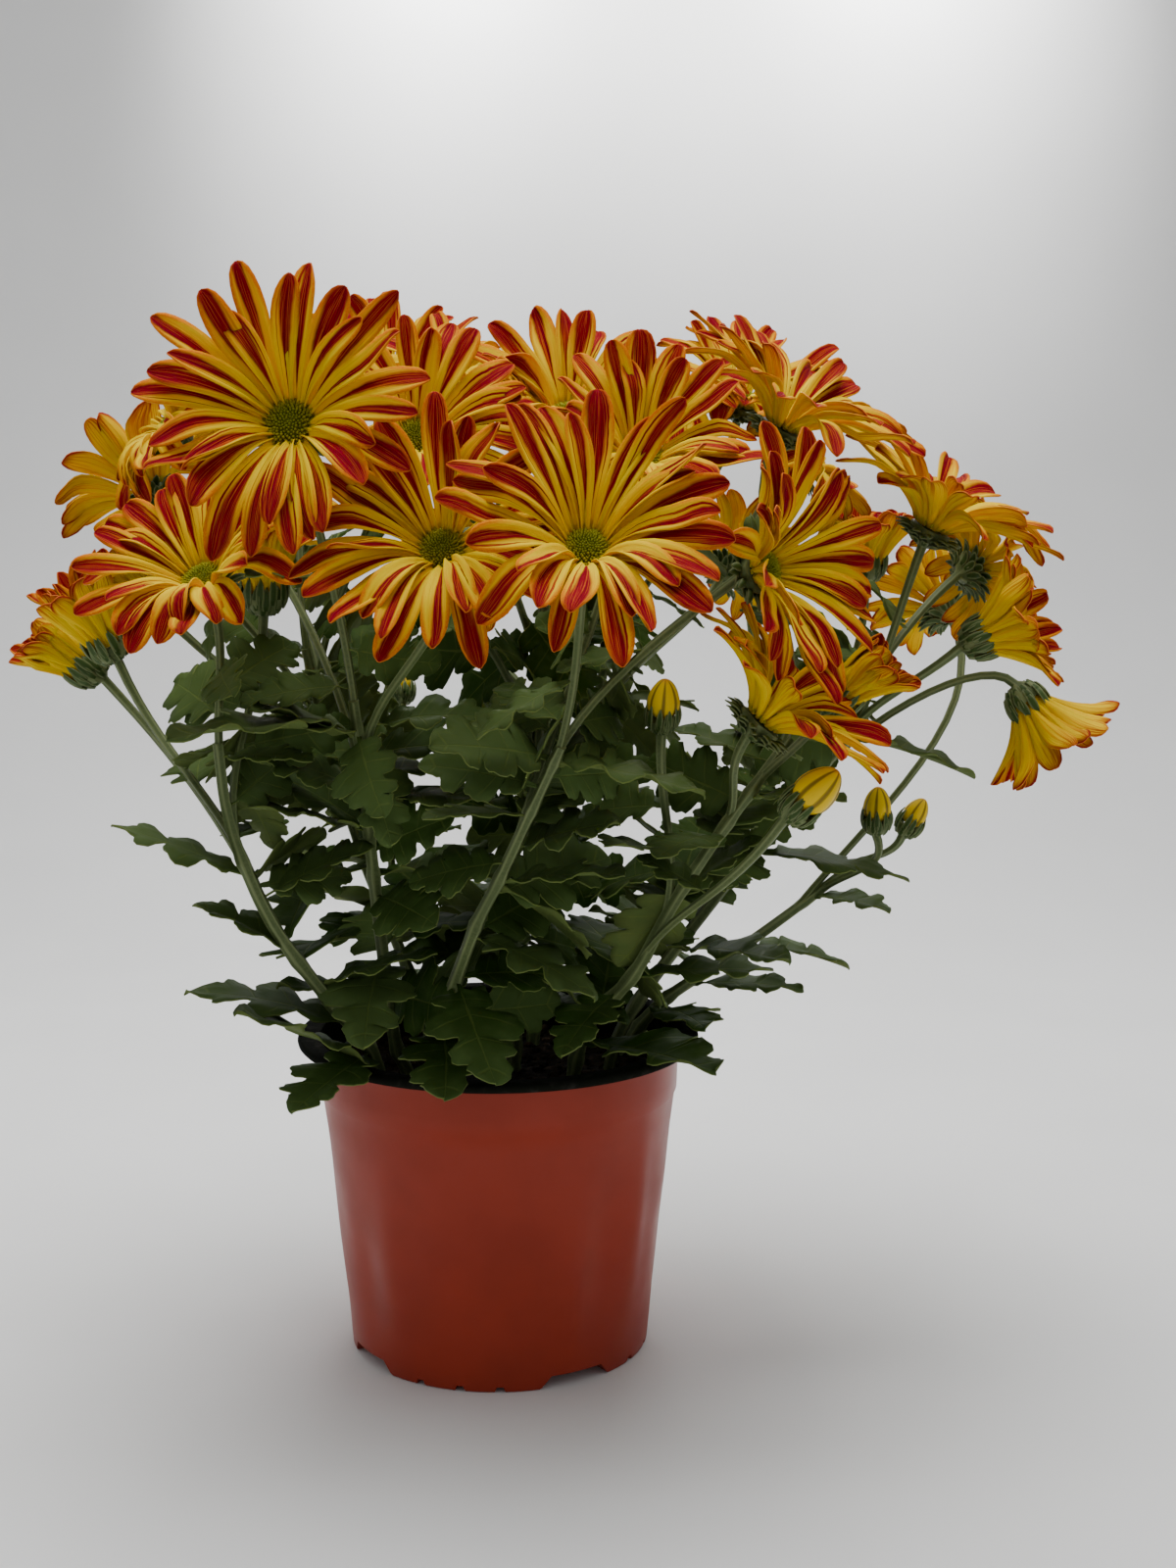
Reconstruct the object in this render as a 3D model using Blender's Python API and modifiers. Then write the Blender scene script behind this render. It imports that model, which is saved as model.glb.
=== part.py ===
"""Potted chrysanthemum: a plastic pot, its soil, nine leafy canes and thirty-nine flower heads.

Metres, +Z up. The origin is under the middle of the pot, on the surface that it stands on.
Azimuth 0 faces the viewer, along -Y, and 90 faces +X. Places in the tables are in millimetres.
"""

import math
import random

import bmesh
import bpy
from mathutils import Matrix, Vector, noise
from mathutils.bvhtree import BVHTree

MM = 0.001
UP = Vector((0, 0, 1))
GAP = 0.3 * MM

# The pot: a thin-walled plastic one, 15 cm across its lip.
RIM_RADIUS = 75 * MM
POT_HEIGHT = 120 * MM
LIP_HEIGHT = 3.2 * MM
WALL = 1.2 * MM
NECK_RADIUS = 67.6 * MM
STEP_HEIGHT = 99 * MM
STEP_DEPTH = 0.6 * MM
EDGE = 0.6 * MM
FOOT_RADIUS = 56 * MM
FOOT_WIDTH = 10 * MM
PAD_RADIUS = 20 * MM
FLOOR_UNDERSIDE = 6 * MM
FLOOR_TOP = 7.5 * MM
POT_STEPS = 28
ARCH_ANGLES = (32, 122, 212, 302)
ARCH_SIZE = (21 * MM, 18 * MM, 5 * MM, 5 * MM)
NOTCH_ANGLES = (-29, -13, 2, 61, 77)
NOTCH_SIZE = (2.5 * MM, 18 * MM, 2.2 * MM, 1.2 * MM)
DRAIN_COUNT = 4
DRAIN_RADIUS = 4 * MM
DRAIN_RING = 33 * MM

# The soil fills the pot up to this level.
SOIL_LEVEL = 104 * MM
SOIL_RELIEF = 1.8 * MM
SOIL_RINGS = (0, 16, 32, 46, 57)
HOLE_CLEARANCE = 1.0 * MM

# The canes, as points in millimetres from the soil upwards. The first two are the part in the soil.
CANE_RADIUS = 2.6 * MM
CANE_TIP_RADIUS = 1.7 * MM
PEDICEL_RADIUS = 1.35 * MM
PEDICEL_SPANS = 3
CANES = {
    "cane_left": (
        (-42, -35, 86), (-42, -35, 106), (-44, -42, 124), (-55, -56, 143), (-73, -69, 173),
        (-83, -75, 198), (-88, -78, 218), (-90, -80, 240),
    ),
    "cane_front_left": (
        (-33, -14, 86), (-33, -14, 106), (-37, -22, 122), (-40, -42, 167), (-41, -60, 198),
        (-42, -75, 229), (-44, -85, 255),
    ),
    "cane_front": (
        (-22, -30, 86), (-22, -30, 106), (-19, -42, 131), (-6, -68, 172), (4, -80, 194),
        (15, -98, 220), (25, -108, 243),
    ),
    "cane_front_right": (
        (28, -22, 86), (28, -22, 106), (34, -30, 130), (50, -50, 154), (62, -64, 180),
        (74, -74, 202), (88, -74, 222), (102, -68, 240),
    ),
    "cane_right": (
        (42, 2, 86), (42, 2, 106), (52, 1, 130), (85, -2, 176), (108, -3, 205), (132, -8, 236),
    ),
    "cane_low_right": (
        (48, 20, 86), (48, 20, 106), (62, 24, 124), (86, 34, 138), (112, 42, 155), (136, 48, 172),
    ),
    "cane_middle": (
        (6, 4, 86), (6, 4, 106), (8, 0, 140), (12, -8, 190), (16, -14, 240), (18, -16, 280),
    ),
    "cane_back": (
        (12, 34, 86), (12, 34, 106), (16, 46, 140), (26, 58, 190), (38, 66, 240), (46, 66, 280),
    ),
    "cane_back_left": (
        (-26, 20, 86), (-26, 20, 106), (-34, 28, 130), (-52, 36, 175), (-66, 38, 220), (-74, 34, 260),
    ),
}

# The flower heads: cane, place on it, head's place, azimuth, elevation, ray length, form.
HEADS = {
    "bloom_01": ("cane_front_left", 0.97, (-58, -125, 345), -4, 27, 47, "open"),
    "bloom_02": ("cane_front", 0.98, (33, -150, 308), 8, 44, 46, "open"),
    "bloom_03": ("cane_front_left", 0.84, (-11, -135, 307), -6, 40, 44, "open"),
    "bloom_04": ("cane_front", 0.90, (89, -100, 299), 52, 16, 43, "open"),
    "bloom_05": ("cane_left", 0.97, (-92, -88, 294), -24, 52, 39, "open"),
    "bloom_06": ("cane_front_right", 0.97, (100, -45, 344), 66, 62, 45, "open"),
    "bloom_07": ("cane_right", 0.97, (156, -15, 308), 70, 64, 42, "open"),
    "bloom_08": ("cane_back_left", 0.85, (-40, 4, 356), -10, 58, 39, "open"),
    "bloom_09": ("cane_back", 0.93, (94, 80, 352), 30, 64, 38, "open"),
    "bloom_10": ("cane_back", 0.80, (38, 116, 330), 175, 50, 38, "open"),
    "bloom_11": ("cane_middle", 0.80, (-12, -42, 358), -20, 74, 36, "reflexed"),
    "bloom_12": ("cane_middle", 0.92, (5, 32, 358), 10, 72, 36, "reflexed"),
    "bloom_13": ("cane_middle", 0.98, (27, -34, 346), 8, 52, 39, "open"),
    "bloom_14": ("cane_front", 0.76, (50, -84, 334), 15, 46, 38, "open"),
    "bloom_15": ("cane_back", 0.90, (66, 46, 352), -10, 74, 35, "reflexed"),
    "bloom_16": ("cane_front_left", 0.70, (-112, -22, 343), -75, 40, 32, "reflexed"),
    "bloom_17": ("cane_back_left", 0.74, (-126, 12, 318), -135, 40, 35, "open"),
    "bloom_18": ("cane_right", 0.86, (180, 38, 290), 115, 18, 34, "reflexed"),
    "bloom_19": ("cane_right", 0.64, (114, 38, 330), 95, 30, 31, "reflexed"),
    "bloom_20": ("cane_front_right", 0.80, (90, -100, 250), 80, 48, 40, "open"),
    "bloom_21": ("cane_back_left", 0.60, (-130, 24, 276), -100, 30, 28, "open"),
    "bloom_22": ("cane_low_right", 0.80, (177, 94, 271), -150, 34, 27, "open"),
    "bloom_23": ("cane_middle", 0.66, (-22, -80, 340), 18, 42, 40, "open"),
    "bloom_24": ("cane_back", 0.66, (92, 118, 284), 140, 30, 32, "open"),
    "bloom_25": ("cane_back_left", 0.97, (-80, 62, 342), -160, 66, 36, "open"),
    "bloom_26": ("cane_back_left", 0.50, (-92, 104, 292), -150, 32, 33, "open"),
    "bloom_27": ("cane_back", 0.56, (-20, 128, 284), 176, 28, 33, "reflexed"),
    "opening_01": ("cane_right", 0.92, (170, -40, 271), 80, 26, 30, "cup"),
    "opening_02": ("cane_right", 0.78, (195, 4, 244), 80, -56, 31, "cup"),
    "opening_03": ("cane_front_right", 0.90, (118, -66, 254), 75, 42, 25, "shut"),
    "opening_04": ("cane_right", 0.50, (142, 60, 290), 0, 84, 26, "cup"),
    "opening_05": ("cane_left", 0.80, (-76, -62, 288), 20, 80, 26, "shut"),
    "opening_06": ("cane_left", 0.66, (-136, -30, 268), -62, 60, 30, "shut"),
    "opening_07": ("cane_left", 0.56, (-150, 2, 256), -80, 36, 26, "shut"),
    "bud_01": ("cane_front_right", 0.42, (101, -110, 223), 80, 44, 18, "bud"),
    "bud_02": ("cane_low_right", 0.90, (144, 28, 194), 0, 80, 14, "bud"),
    "bud_03": ("cane_low_right", 0.98, (158, 42, 190), 90, 60, 12, "bud"),
    "bud_04": ("cane_front_right", 0.56, (58, -92, 250), 10, 70, 14, "bud"),
    "bud_05": ("cane_back_left", 0.30, (-42, 96, 235), 180, 60, 10, "bud"),
}
WITH_OWN_DISC = (
    "bloom_01", "bloom_02", "bloom_03", "bloom_04", "bloom_05",
    "bloom_06", "bloom_07", "bloom_08", "bloom_09", "bloom_10",
)

# How the rays leave the head: rays, lift at the root and at the tip in degrees, and their sag.
# A ray's stations are shares of its length, each with its share of the full width.
BENT = ((0.42, 0.90), (0.80, 0.88), (1.0, 0.0))
STRAIGHT = ((0.62, 1.0), (1.0, 0.0))
FORMS = {
    "open": (11, 50, 8, 0.20, BENT),
    "reflexed": (9, 28, -70, 0.10, BENT),
    "cup": (8, 60, 34, 0.06, STRAIGHT),
    "shut": (7, 76, 66, 0.0, STRAIGHT),
}
RAYS_WITH_FUSED_DISC = 9
RAY_THICKNESS = 0.7 * MM
RAY_WIDTH = 12 * MM
RAY_ROOT_RADIUS = 6.4 * MM
FLORET_DOME = 3.2 * MM
DISC_PROFILE = ((0, 5.2), (4.6, 4.6), (7.2, 2.8), (5.8, 1.3), (0, 1.3))
DISC_STEPS = 9

# The green cup under a head, as distances behind it and radii, in millimetres.
CUP_STATIONS = ((-7.2, 1.35), (-3.2, 6.6), (0.0, 7.4))

# The leaves that stand out: stem, place on it, azimuth, length in millimetres, pitch.
LEAF_THICKNESS = 0.8 * MM
LEAVES = (
    ("cane_left", 0.30, -92, 60, 22), ("cane_left", 0.17, -80, 68, 10),
    ("cane_left", 0.22, -55, 46, -8), ("cane_left", 0.52, -95, 40, 34),
    ("cane_left", 0.72, -85, 50, 24), ("cane_left", 0.44, 80, 44, 20),
    ("cane_front_left", 0.42, -8, 52, -22), ("cane_front_left", 0.62, 62, 60, 2),
    ("cane_front_left", 0.93, -88, 66, 10), ("cane_front_left", 0.80, 74, 50, 4),
    ("cane_front_left", 0.30, -50, 44, 5), ("cane_front_left", 0.72, -60, 44, 20),
    ("cane_front", 0.26, 10, 50, -30), ("cane_front", 0.40, 14, 50, -24),
    ("cane_front", 0.52, 66, 50, -10), ("cane_front", 0.66, 75, 44, 10),
    ("cane_front", 0.84, -70, 40, 12), ("cane_front", 0.96, 78, 50, -4),
    ("cane_front_right", 0.20, 50, 56, -8), ("cane_front_right", 0.42, 84, 50, 6),
    ("cane_front_right", 0.36, -30, 44, -10), ("cane_front_right", 0.64, 100, 34, 40),
    ("cane_front_right", 0.78, -35, 40, 6), ("cane_front_right", 0.86, 70, 36, 10),
    ("cane_right", 0.66, 88, 58, -4), ("cane_right", 0.97, 92, 50, -14),
    ("cane_right", 0.40, 60, 46, 6), ("cane_right", 0.86, 170, 38, 20),
    ("cane_low_right", 0.42, 75, 44, 4), ("cane_low_right", 0.62, 100, 42, -8),
    ("cane_low_right", 0.86, 60, 34, 5), ("cane_low_right", 0.30, 30, 40, -4),
)
FILLER_LEAVES = {
    "cane_middle": (4, 40), "cane_back": (5, 150), "cane_back_left": (5, 200),
}
GOLDEN_ANGLE = 137.5

CLEARANCE = 0.8 * MM

obstacles = {}


def clear_scene():
    for obj in list(bpy.data.objects):
        bpy.data.objects.remove(obj)


def new_collection(name):
    collection = bpy.data.collections.new(name)
    bpy.context.scene.collection.children.link(collection)
    return collection


def new_material(name, colour, roughness):
    material = bpy.data.materials.new(name)
    material.use_nodes = True
    shader = material.node_tree.nodes["Principled BSDF"]
    shader.inputs["Base Color"].default_value = (*colour, 1)
    shader.inputs["Roughness"].default_value = roughness
    shader.inputs["Metallic"].default_value = 0
    material.diffuse_color = (*colour, 1)
    return material


def add_object(name, mesh, collection, material=None):
    obj = bpy.data.objects.new(name, mesh)
    collection.objects.link(obj)
    if material:
        mesh.materials.append(material)
    return obj


def turned(name, profile, steps, collection, material=None):
    """A solid turned about Z from (radius, height) pairs, which run down its outer side."""
    mesh = bpy.data.meshes.new(name)
    mesh.from_pydata([(r, 0, z) for r, z in profile], [(i, i + 1) for i in range(len(profile) - 1)], [])
    obj = add_object(name, mesh, collection, material)
    screw = obj.modifiers.new("Turn", "SCREW")
    screw.steps = steps
    screw.render_steps = steps
    screw.use_merge_vertices = True
    screw.merge_threshold = 0.0001
    return obj


def evaluated_mesh(obj):
    """A copy of the object's mesh with its modifiers applied and its doubles welded."""
    graph = bpy.context.evaluated_depsgraph_get()
    mesh = bpy.data.meshes.new_from_object(obj.evaluated_get(graph))
    work = bmesh.new()
    work.from_mesh(mesh)
    bmesh.ops.remove_doubles(work, verts=work.verts, dist=0.00001)
    work.to_mesh(mesh)
    work.free()
    return mesh


def made_mesh(obj, collection):
    """The object as a plain mesh object of the same name and place. The first one is removed."""
    mesh = evaluated_mesh(obj)
    name = obj.name
    matrix = obj.matrix_world.copy()
    bpy.data.objects.remove(obj)
    result = add_object(name, mesh, collection)
    result.matrix_world = matrix
    return result


def helper_look(obj):
    obj.hide_render = True
    obj.display_type = "WIRE"


def cut(obj, cutters):
    """Takes every cutter of the collection out of the object."""
    for cutter in cutters.objects:
        helper_look(cutter)
    boolean = obj.modifiers.new("Cut", "BOOLEAN")
    boolean.operand_type = "COLLECTION"
    boolean.collection = cutters
    boolean.operation = "DIFFERENCE"


def fuse(obj, pieces):
    """Joins the pieces of the collection to the object for good, then removes them."""
    boolean = obj.modifiers.new("Fuse", "BOOLEAN")
    boolean.operand_type = "COLLECTION"
    boolean.collection = pieces
    boolean.operation = "UNION"
    boolean.solver = "MANIFOLD"
    bpy.context.view_layer.update()
    mesh = evaluated_mesh(obj)
    obj.modifiers.clear()
    old = obj.data
    obj.data = mesh
    bpy.data.meshes.remove(old)
    for piece in list(pieces.objects):
        bpy.data.objects.remove(piece)
    bpy.data.collections.remove(pieces)


def box_cutter(name, size, angle, radius, collection):
    """A box across the pot's foot at an azimuth, up to its height, whose ends spread to the ground."""
    bpy.ops.mesh.primitive_cube_add(size=1)
    obj = bpy.context.object
    obj.name = name
    for old in list(obj.users_collection):
        old.objects.unlink(obj)
    collection.objects.link(obj)
    turn = Matrix.Rotation(math.radians(angle), 4, "Z")
    width, depth, height, spread = size
    below = 1 * MM
    for vertex in obj.data.vertices:
        if vertex.co.z < 0:
            vertex.co.x *= 1 + 2 * spread / width
    scale = Matrix.Diagonal((width, depth, height + below, 1))
    middle = Vector((0, -radius, (height - below) / 2))
    obj.data.transform(turn @ Matrix.Translation(middle) @ scale)
    return obj


def wall_radius(height):
    """The outer radius of the pot's wall, which steps in a little below the rim."""
    if height > STEP_HEIGHT:
        share = (height - STEP_HEIGHT) / (POT_HEIGHT - STEP_HEIGHT)
        return NECK_RADIUS - STEP_DEPTH * (1 - share)
    share = height / STEP_HEIGHT
    return FOOT_RADIUS + (NECK_RADIUS - 2 * STEP_DEPTH - FOOT_RADIUS) * share


def make_pot(collection, material):
    under_lip = POT_HEIGHT - LIP_HEIGHT
    inner_foot = FOOT_RADIUS - FOOT_WIDTH
    edge = EDGE
    profile = (
        (0, FLOOR_TOP),
        (wall_radius(FLOOR_TOP) - WALL, FLOOR_TOP),
        (wall_radius(STEP_HEIGHT) - WALL, STEP_HEIGHT),
        (wall_radius(POT_HEIGHT) - WALL, POT_HEIGHT - edge),
        (wall_radius(POT_HEIGHT) - WALL + edge, POT_HEIGHT),
        (RIM_RADIUS - edge, POT_HEIGHT),
        (RIM_RADIUS, POT_HEIGHT - edge),
        (RIM_RADIUS, under_lip),
        (wall_radius(under_lip) + edge, under_lip),
        (wall_radius(under_lip), under_lip - edge),
        (wall_radius(STEP_HEIGHT + edge), STEP_HEIGHT + edge),
        (wall_radius(STEP_HEIGHT - edge), STEP_HEIGHT - edge),
        (wall_radius(edge), edge),
        (wall_radius(0) - edge, 0),
        (inner_foot, 0),
        (inner_foot, FLOOR_UNDERSIDE),
        (PAD_RADIUS, FLOOR_UNDERSIDE),
        (PAD_RADIUS, 0),
        (0, 0),
    )
    pot = turned("pot", profile, POT_STEPS, collection, material)
    cutters = new_collection("pot cutters")
    for angle in ARCH_ANGLES:
        box_cutter(f"arch {angle}", ARCH_SIZE, angle, FOOT_RADIUS - FOOT_WIDTH / 2, cutters)
    for angle in NOTCH_ANGLES:
        box_cutter(f"notch {angle}", NOTCH_SIZE, angle, FOOT_RADIUS - FOOT_WIDTH / 2, cutters)
    for index in range(DRAIN_COUNT):
        angle = math.radians(360 * index / DRAIN_COUNT + 45)
        bpy.ops.mesh.primitive_cylinder_add(
            vertices=8, radius=DRAIN_RADIUS, depth=4 * FLOOR_TOP,
            location=(DRAIN_RING * math.cos(angle), DRAIN_RING * math.sin(angle), 0),
        )
        drain = bpy.context.object
        for old in list(drain.users_collection):
            old.objects.unlink(drain)
        cutters.objects.link(drain)
    cut(pot, cutters)
    return pot


def make_soil(collection, material):
    """The soil, up to its level, with a rough top and a plain hole for each cane."""
    foot = wall_radius(FLOOR_TOP + GAP) - WALL - GAP
    step = wall_radius(STEP_HEIGHT) - WALL - GAP
    profile = [(r * MM, SOIL_LEVEL) for r in SOIL_RINGS]
    profile += [(step, SOIL_LEVEL - 1 * MM), (step, STEP_HEIGHT), (foot, FLOOR_TOP + GAP), (0, FLOOR_TOP + GAP)]
    soil = made_mesh(turned("soil", profile, POT_STEPS, collection), collection)
    soil.data.materials.append(material)
    for vertex in soil.data.vertices:
        if vertex.co.z > SOIL_LEVEL - 0.5 * MM:
            vertex.co.z += SOIL_RELIEF * noise.noise(vertex.co / (9 * MM))
    cutters = new_collection("soil cutters")
    for name, points in CANES.items():
        foot_point = Vector(points[0]) * MM
        radius = CANE_RADIUS + HOLE_CLEARANCE
        height = SOIL_LEVEL + 3 * SOIL_RELIEF - foot_point.z + GAP
        bpy.ops.mesh.primitive_cylinder_add(
            vertices=8, radius=radius, depth=height,
            location=(foot_point.x, foot_point.y, foot_point.z - GAP + height / 2),
        )
        hole = bpy.context.object
        hole.name = f"{name} hole"
        for old in list(hole.users_collection):
            old.objects.unlink(hole)
        cutters.objects.link(hole)
    cut(soil, cutters)
    return soil


def bezier(a, b, c, d, count):
    path = []
    for index in range(count + 1):
        t = index / count
        s = 1 - t
        path.append(a * s ** 3 + 3 * b * s ** 2 * t + 3 * c * s * t ** 2 + d * t ** 3)
    return path


def along(path, share):
    """The point and the direction at a share of the path's length."""
    lengths = [(b - a).length for a, b in zip(path, path[1:])]
    rest = share * sum(lengths)
    for (a, b), length in zip(zip(path, path[1:]), lengths):
        if rest <= length:
            break
        rest -= length
    direction = (b - a).normalized()
    return a + direction * min(rest, length), direction


def tube(name, path, radii, collection):
    """A six-sided tube through the path, as a closed mesh object."""
    curve = bpy.data.curves.new(name, "CURVE")
    curve.dimensions = "3D"
    curve.bevel_depth = 1
    curve.bevel_resolution = 1
    curve.use_fill_caps = True
    spline = curve.splines.new("POLY")
    spline.points.add(len(path) - 1)
    for point, place, radius in zip(spline.points, path, radii):
        point.co = (*place, 1)
        point.radius = radius
    obj = bpy.data.objects.new(name, curve)
    collection.objects.link(obj)
    bpy.context.view_layer.update()
    return made_mesh(obj, collection)


def thick_tree(verts, faces, half):
    """A search tree of the open surface thickened to both sides, closed round its edge."""
    work = bmesh.new()
    made = [work.verts.new(v) for v in verts]
    for face in faces:
        work.faces.new([made[i] for i in face])
    work.normal_update()
    count = len(made)
    points = [v.co + v.normal * half for v in made] + [v.co - v.normal * half for v in made]
    polygons = list(faces) + [[i + count for i in face] for face in faces]
    work.verts.index_update()
    for edge in work.edges:
        if edge.is_boundary:
            a, b = (v.index for v in edge.verts)
            polygons.append((a, b, b + count, a + count))
    work.free()
    return BVHTree.FromPolygons(points, polygons)


def is_clear(tree, leave_out=()):
    return not any(
        tree.overlap(other) for name, other in obstacles.items() if name not in leave_out
    )


def facing(azimuth, elevation):
    a = math.radians(azimuth)
    e = math.radians(elevation)
    return Vector((math.sin(a) * math.cos(e), -math.cos(a) * math.cos(e), math.sin(e)))


def head_matrix(centre, azimuth, elevation):
    """Local Z is the way the head faces and local X is level."""
    z = facing(azimuth, elevation)
    x = Vector((math.cos(math.radians(azimuth)), math.sin(math.radians(azimuth)), 0))
    y = z.cross(x)
    matrix = Matrix((x, y, z)).transposed().to_4x4()
    matrix.translation = centre
    return matrix


def cup_scale(form, length):
    return 0.42 + 0.022 * length if form == "bud" else 1.0


def place_cores():
    """Marks where every head's cup and disc are, so that stems keep clear of them."""
    for name, (_, _, place, azimuth, elevation, length, form) in HEADS.items():
        work = bmesh.new()
        radius = 9 * MM * cup_scale(form, length)
        bmesh.ops.create_icosphere(work, subdivisions=1, radius=radius)
        if form == "bud":
            ahead = Matrix.Translation((0, 0, length * MM / 2))
            bmesh.ops.create_icosphere(work, subdivisions=1, radius=0.56 * length * MM, matrix=ahead)
        work.transform(head_matrix(Vector(place) * MM, azimuth, elevation))
        obstacles[f"{name} core"] = BVHTree.FromBMesh(work)
        work.free()


def pedicel_path(cane_path, share, matrix, scale, bend):
    """From inside the cane up to the middle of the head's cup. bend moves its middle sideways."""
    start, direction = along(cane_path, share)
    axis = matrix.to_3x3() @ UP
    end = matrix @ Vector((0, 0, CUP_STATIONS[0][0] * MM * scale))
    reach = (end - start).length
    leave = start + (direction + UP * 0.4).normalized() * reach * 0.35 + bend
    arrive = end - axis * reach * 0.28 - UP * reach * 0.10 + bend
    return bezier(start, leave, arrive, end, PEDICEL_SPANS)


def path_tree(path, radii):
    """A four-sided tube round the path, for testing only."""
    points = []
    for a, b, radius in zip(path, path[1:] + [2 * path[-1] - path[-2]], radii):
        direction = (b - a).normalized()
        side = direction.orthogonal().normalized()
        other = direction.cross(side)
        points += [a + side * radius, a + other * radius, a - side * radius, a - other * radius]
    polygons = []
    for row in range(len(path) - 1):
        for k in range(4):
            i = 4 * row
            j = (k + 1) % 4
            polygons.append((i + k, i + j, i + 4 + j, i + 4 + k))
    return BVHTree.FromPolygons(points, polygons)


def with_cup(path, head):
    """The head's stem as points and radii, with the green cup that it widens into at its end."""
    _, _, place, azimuth, elevation, length, form = head
    scale = cup_scale(form, length)
    matrix = head_matrix(Vector(place) * MM, azimuth, elevation)
    points = path + [matrix @ Vector((0, 0, z * MM * scale)) for z, _ in CUP_STATIONS[1:]]
    radii = [PEDICEL_RADIUS] * len(path) + [r * MM * scale for _, r in CUP_STATIONS[1:]]
    return points, radii


def pedicel_bends(name):
    """The straight way first, then ways round to each side."""
    rng = random.Random(name)
    turn = rng.uniform(0, 2 * math.pi)
    bends = [Vector((0, 0, 0))]
    for size in (6, 12, 18, 26):
        for k in range(6):
            angle = turn + k * math.pi / 3
            bends.append(Vector((math.cos(angle), math.sin(angle), 0)) * size * MM)
    return bends


def lay_pedicels(cane_paths):
    """A path for every head's stem, each clear of the canes, the cores and the stems before it."""
    paths = {}
    for name, (cane, share, place, azimuth, elevation, length, form) in HEADS.items():
        matrix = head_matrix(Vector(place) * MM, azimuth, elevation)
        best = None
        for bend in pedicel_bends(name):
            path = pedicel_path(cane_paths[cane], share, matrix, cup_scale(form, length), bend)
            tree = path_tree(path, [PEDICEL_RADIUS + CLEARANCE] * len(path))
            if is_clear(tree, (cane, f"{name} core")):
                best = path
                break
        if best is None:
            print("no clear way for", name)
            best = pedicel_path(
                cane_paths[cane], share, matrix, cup_scale(form, length), Vector((0, 0, 0))
            )
        paths[name] = best
        points, radii = with_cup(best, HEADS[name])
        obstacles[f"{name} stem"] = path_tree(points, [radius + GAP for radius in radii])
    return paths


def ray_stations(matrix, phi, lift, drop, length, sag, marks, count):
    """Centre, side direction and half width of a ray at its stations, in world space."""
    turn = matrix.to_3x3()
    axis = turn @ UP
    out = turn @ Vector((math.cos(phi), math.sin(phi), 0))
    point = matrix @ Vector((0, 0, GAP + RAY_THICKNESS / 2)) + out * RAY_ROOT_RADIUS
    stations = []
    parts = 12
    for part in range(1, parts + 1):
        share = part / parts
        angle = math.radians(lift + (drop - lift) * (share - 0.5 / parts))
        direction = out * math.cos(angle) + axis * math.sin(angle) - UP * sag * share
        point = point + direction.normalized() * length / parts
        if share >= marks[len(stations)][0] - 0.001:
            from_axis = point - matrix.translation
            radius = (from_axis - axis * from_axis.dot(axis)).length
            room = 0.92 * radius * math.sin(math.pi / count)
            half = min(RAY_WIDTH / 2, room) * marks[len(stations)][1]
            stations.append((point.copy(), axis.cross(out).normalized(), half))
    return stations


def ray_tree(stations, grow, half_thickness, root=()):
    """A search tree of the ray beyond its root, grown and thickened by what is given."""
    verts = list(root)
    for point, side, half in stations[:-1]:
        verts += [point - side * (half + grow), point + side * (half + grow)]
    tip, before = stations[-1][0], stations[-2][0]
    verts.append(tip + (tip - before).normalized() * grow)
    faces = [(i, i + 1, i + 3, i + 2) for i in range(0, len(verts) - 3, 2)]
    faces.append((len(verts) - 3, len(verts) - 2, len(verts) - 1))
    return thick_tree(verts, faces, half_thickness)


def root_edge(matrix, phi, beyond, half):
    """The two ends of a ray's root edge, or of a line across it that far beyond."""
    turn = matrix.to_3x3()
    out = turn @ Vector((math.cos(phi), math.sin(phi), 0))
    side = turn @ Vector((-math.sin(phi), math.cos(phi), 0))
    root = matrix @ Vector((0, 0, GAP + RAY_THICKNESS / 2)) + out * (RAY_ROOT_RADIUS + beyond)
    return root - side * half, root + side * half


def root_tree(stations, matrix, phi):
    """A search tree of the ray's root, thickened less, to keep it off stems close to the head."""
    point, side, half = stations[0]
    verts = [*root_edge(matrix, phi, 3 * MM, half), point - side * half, point + side * half]
    return thick_tree(verts, [(0, 1, 3, 2)], RAY_THICKNESS / 2 + 0.4 * MM)


RAY_TRIES = [
    (turn, size)
    for size in (1.0, 0.82, 0.64, 0.48)
    for turn in (0, 9, -9, 18, -18, 28, -28, 40, -40, 55)
]


def clear_rays(name, head):
    """The stations of every ray of the head, each bent clear of what is already there."""
    _, _, place, azimuth, elevation, length, form = head
    count, lift, drop, sag, marks = FORMS[form]
    if form == "open" and name not in WITH_OWN_DISC:
        count = RAYS_WITH_FUSED_DISC
    matrix = head_matrix(Vector(place) * MM, azimuth, elevation)
    rng = random.Random(name)
    start = rng.uniform(0, 2 * math.pi)
    rays = []
    for k in range(count):
        phi = start + 2 * math.pi * k / count
        wobble = rng.uniform(-5, 5)
        own_length = length * MM * rng.uniform(0.92, 1.04)
        for turn, size in RAY_TRIES:
            stations = ray_stations(
                matrix, phi, lift + wobble + 0.4 * turn, drop + wobble + turn,
                own_length * size, sag, marks, count,
            )
            outer = ray_tree(stations, CLEARANCE, RAY_THICKNESS / 2 + CLEARANCE)
            inner = root_tree(stations, matrix, phi)
            root = root_edge(matrix, phi, 0, 0.9 * MM)
            whole = ray_tree(stations, 0, RAY_THICKNESS / 2, root)
            if (
                not whole.overlap(obstacles[f"{name} stem"])
                and is_clear(outer, (f"{name} core",))
                and is_clear(inner, (f"{name} core", f"{name} stem"))
            ):
                obstacles[f"{name} ray {k}"] = whole
                rays.append(stations)
                break
        else:
            print("no room for ray", k, "of", name)
    return matrix, count, start, rays


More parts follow.
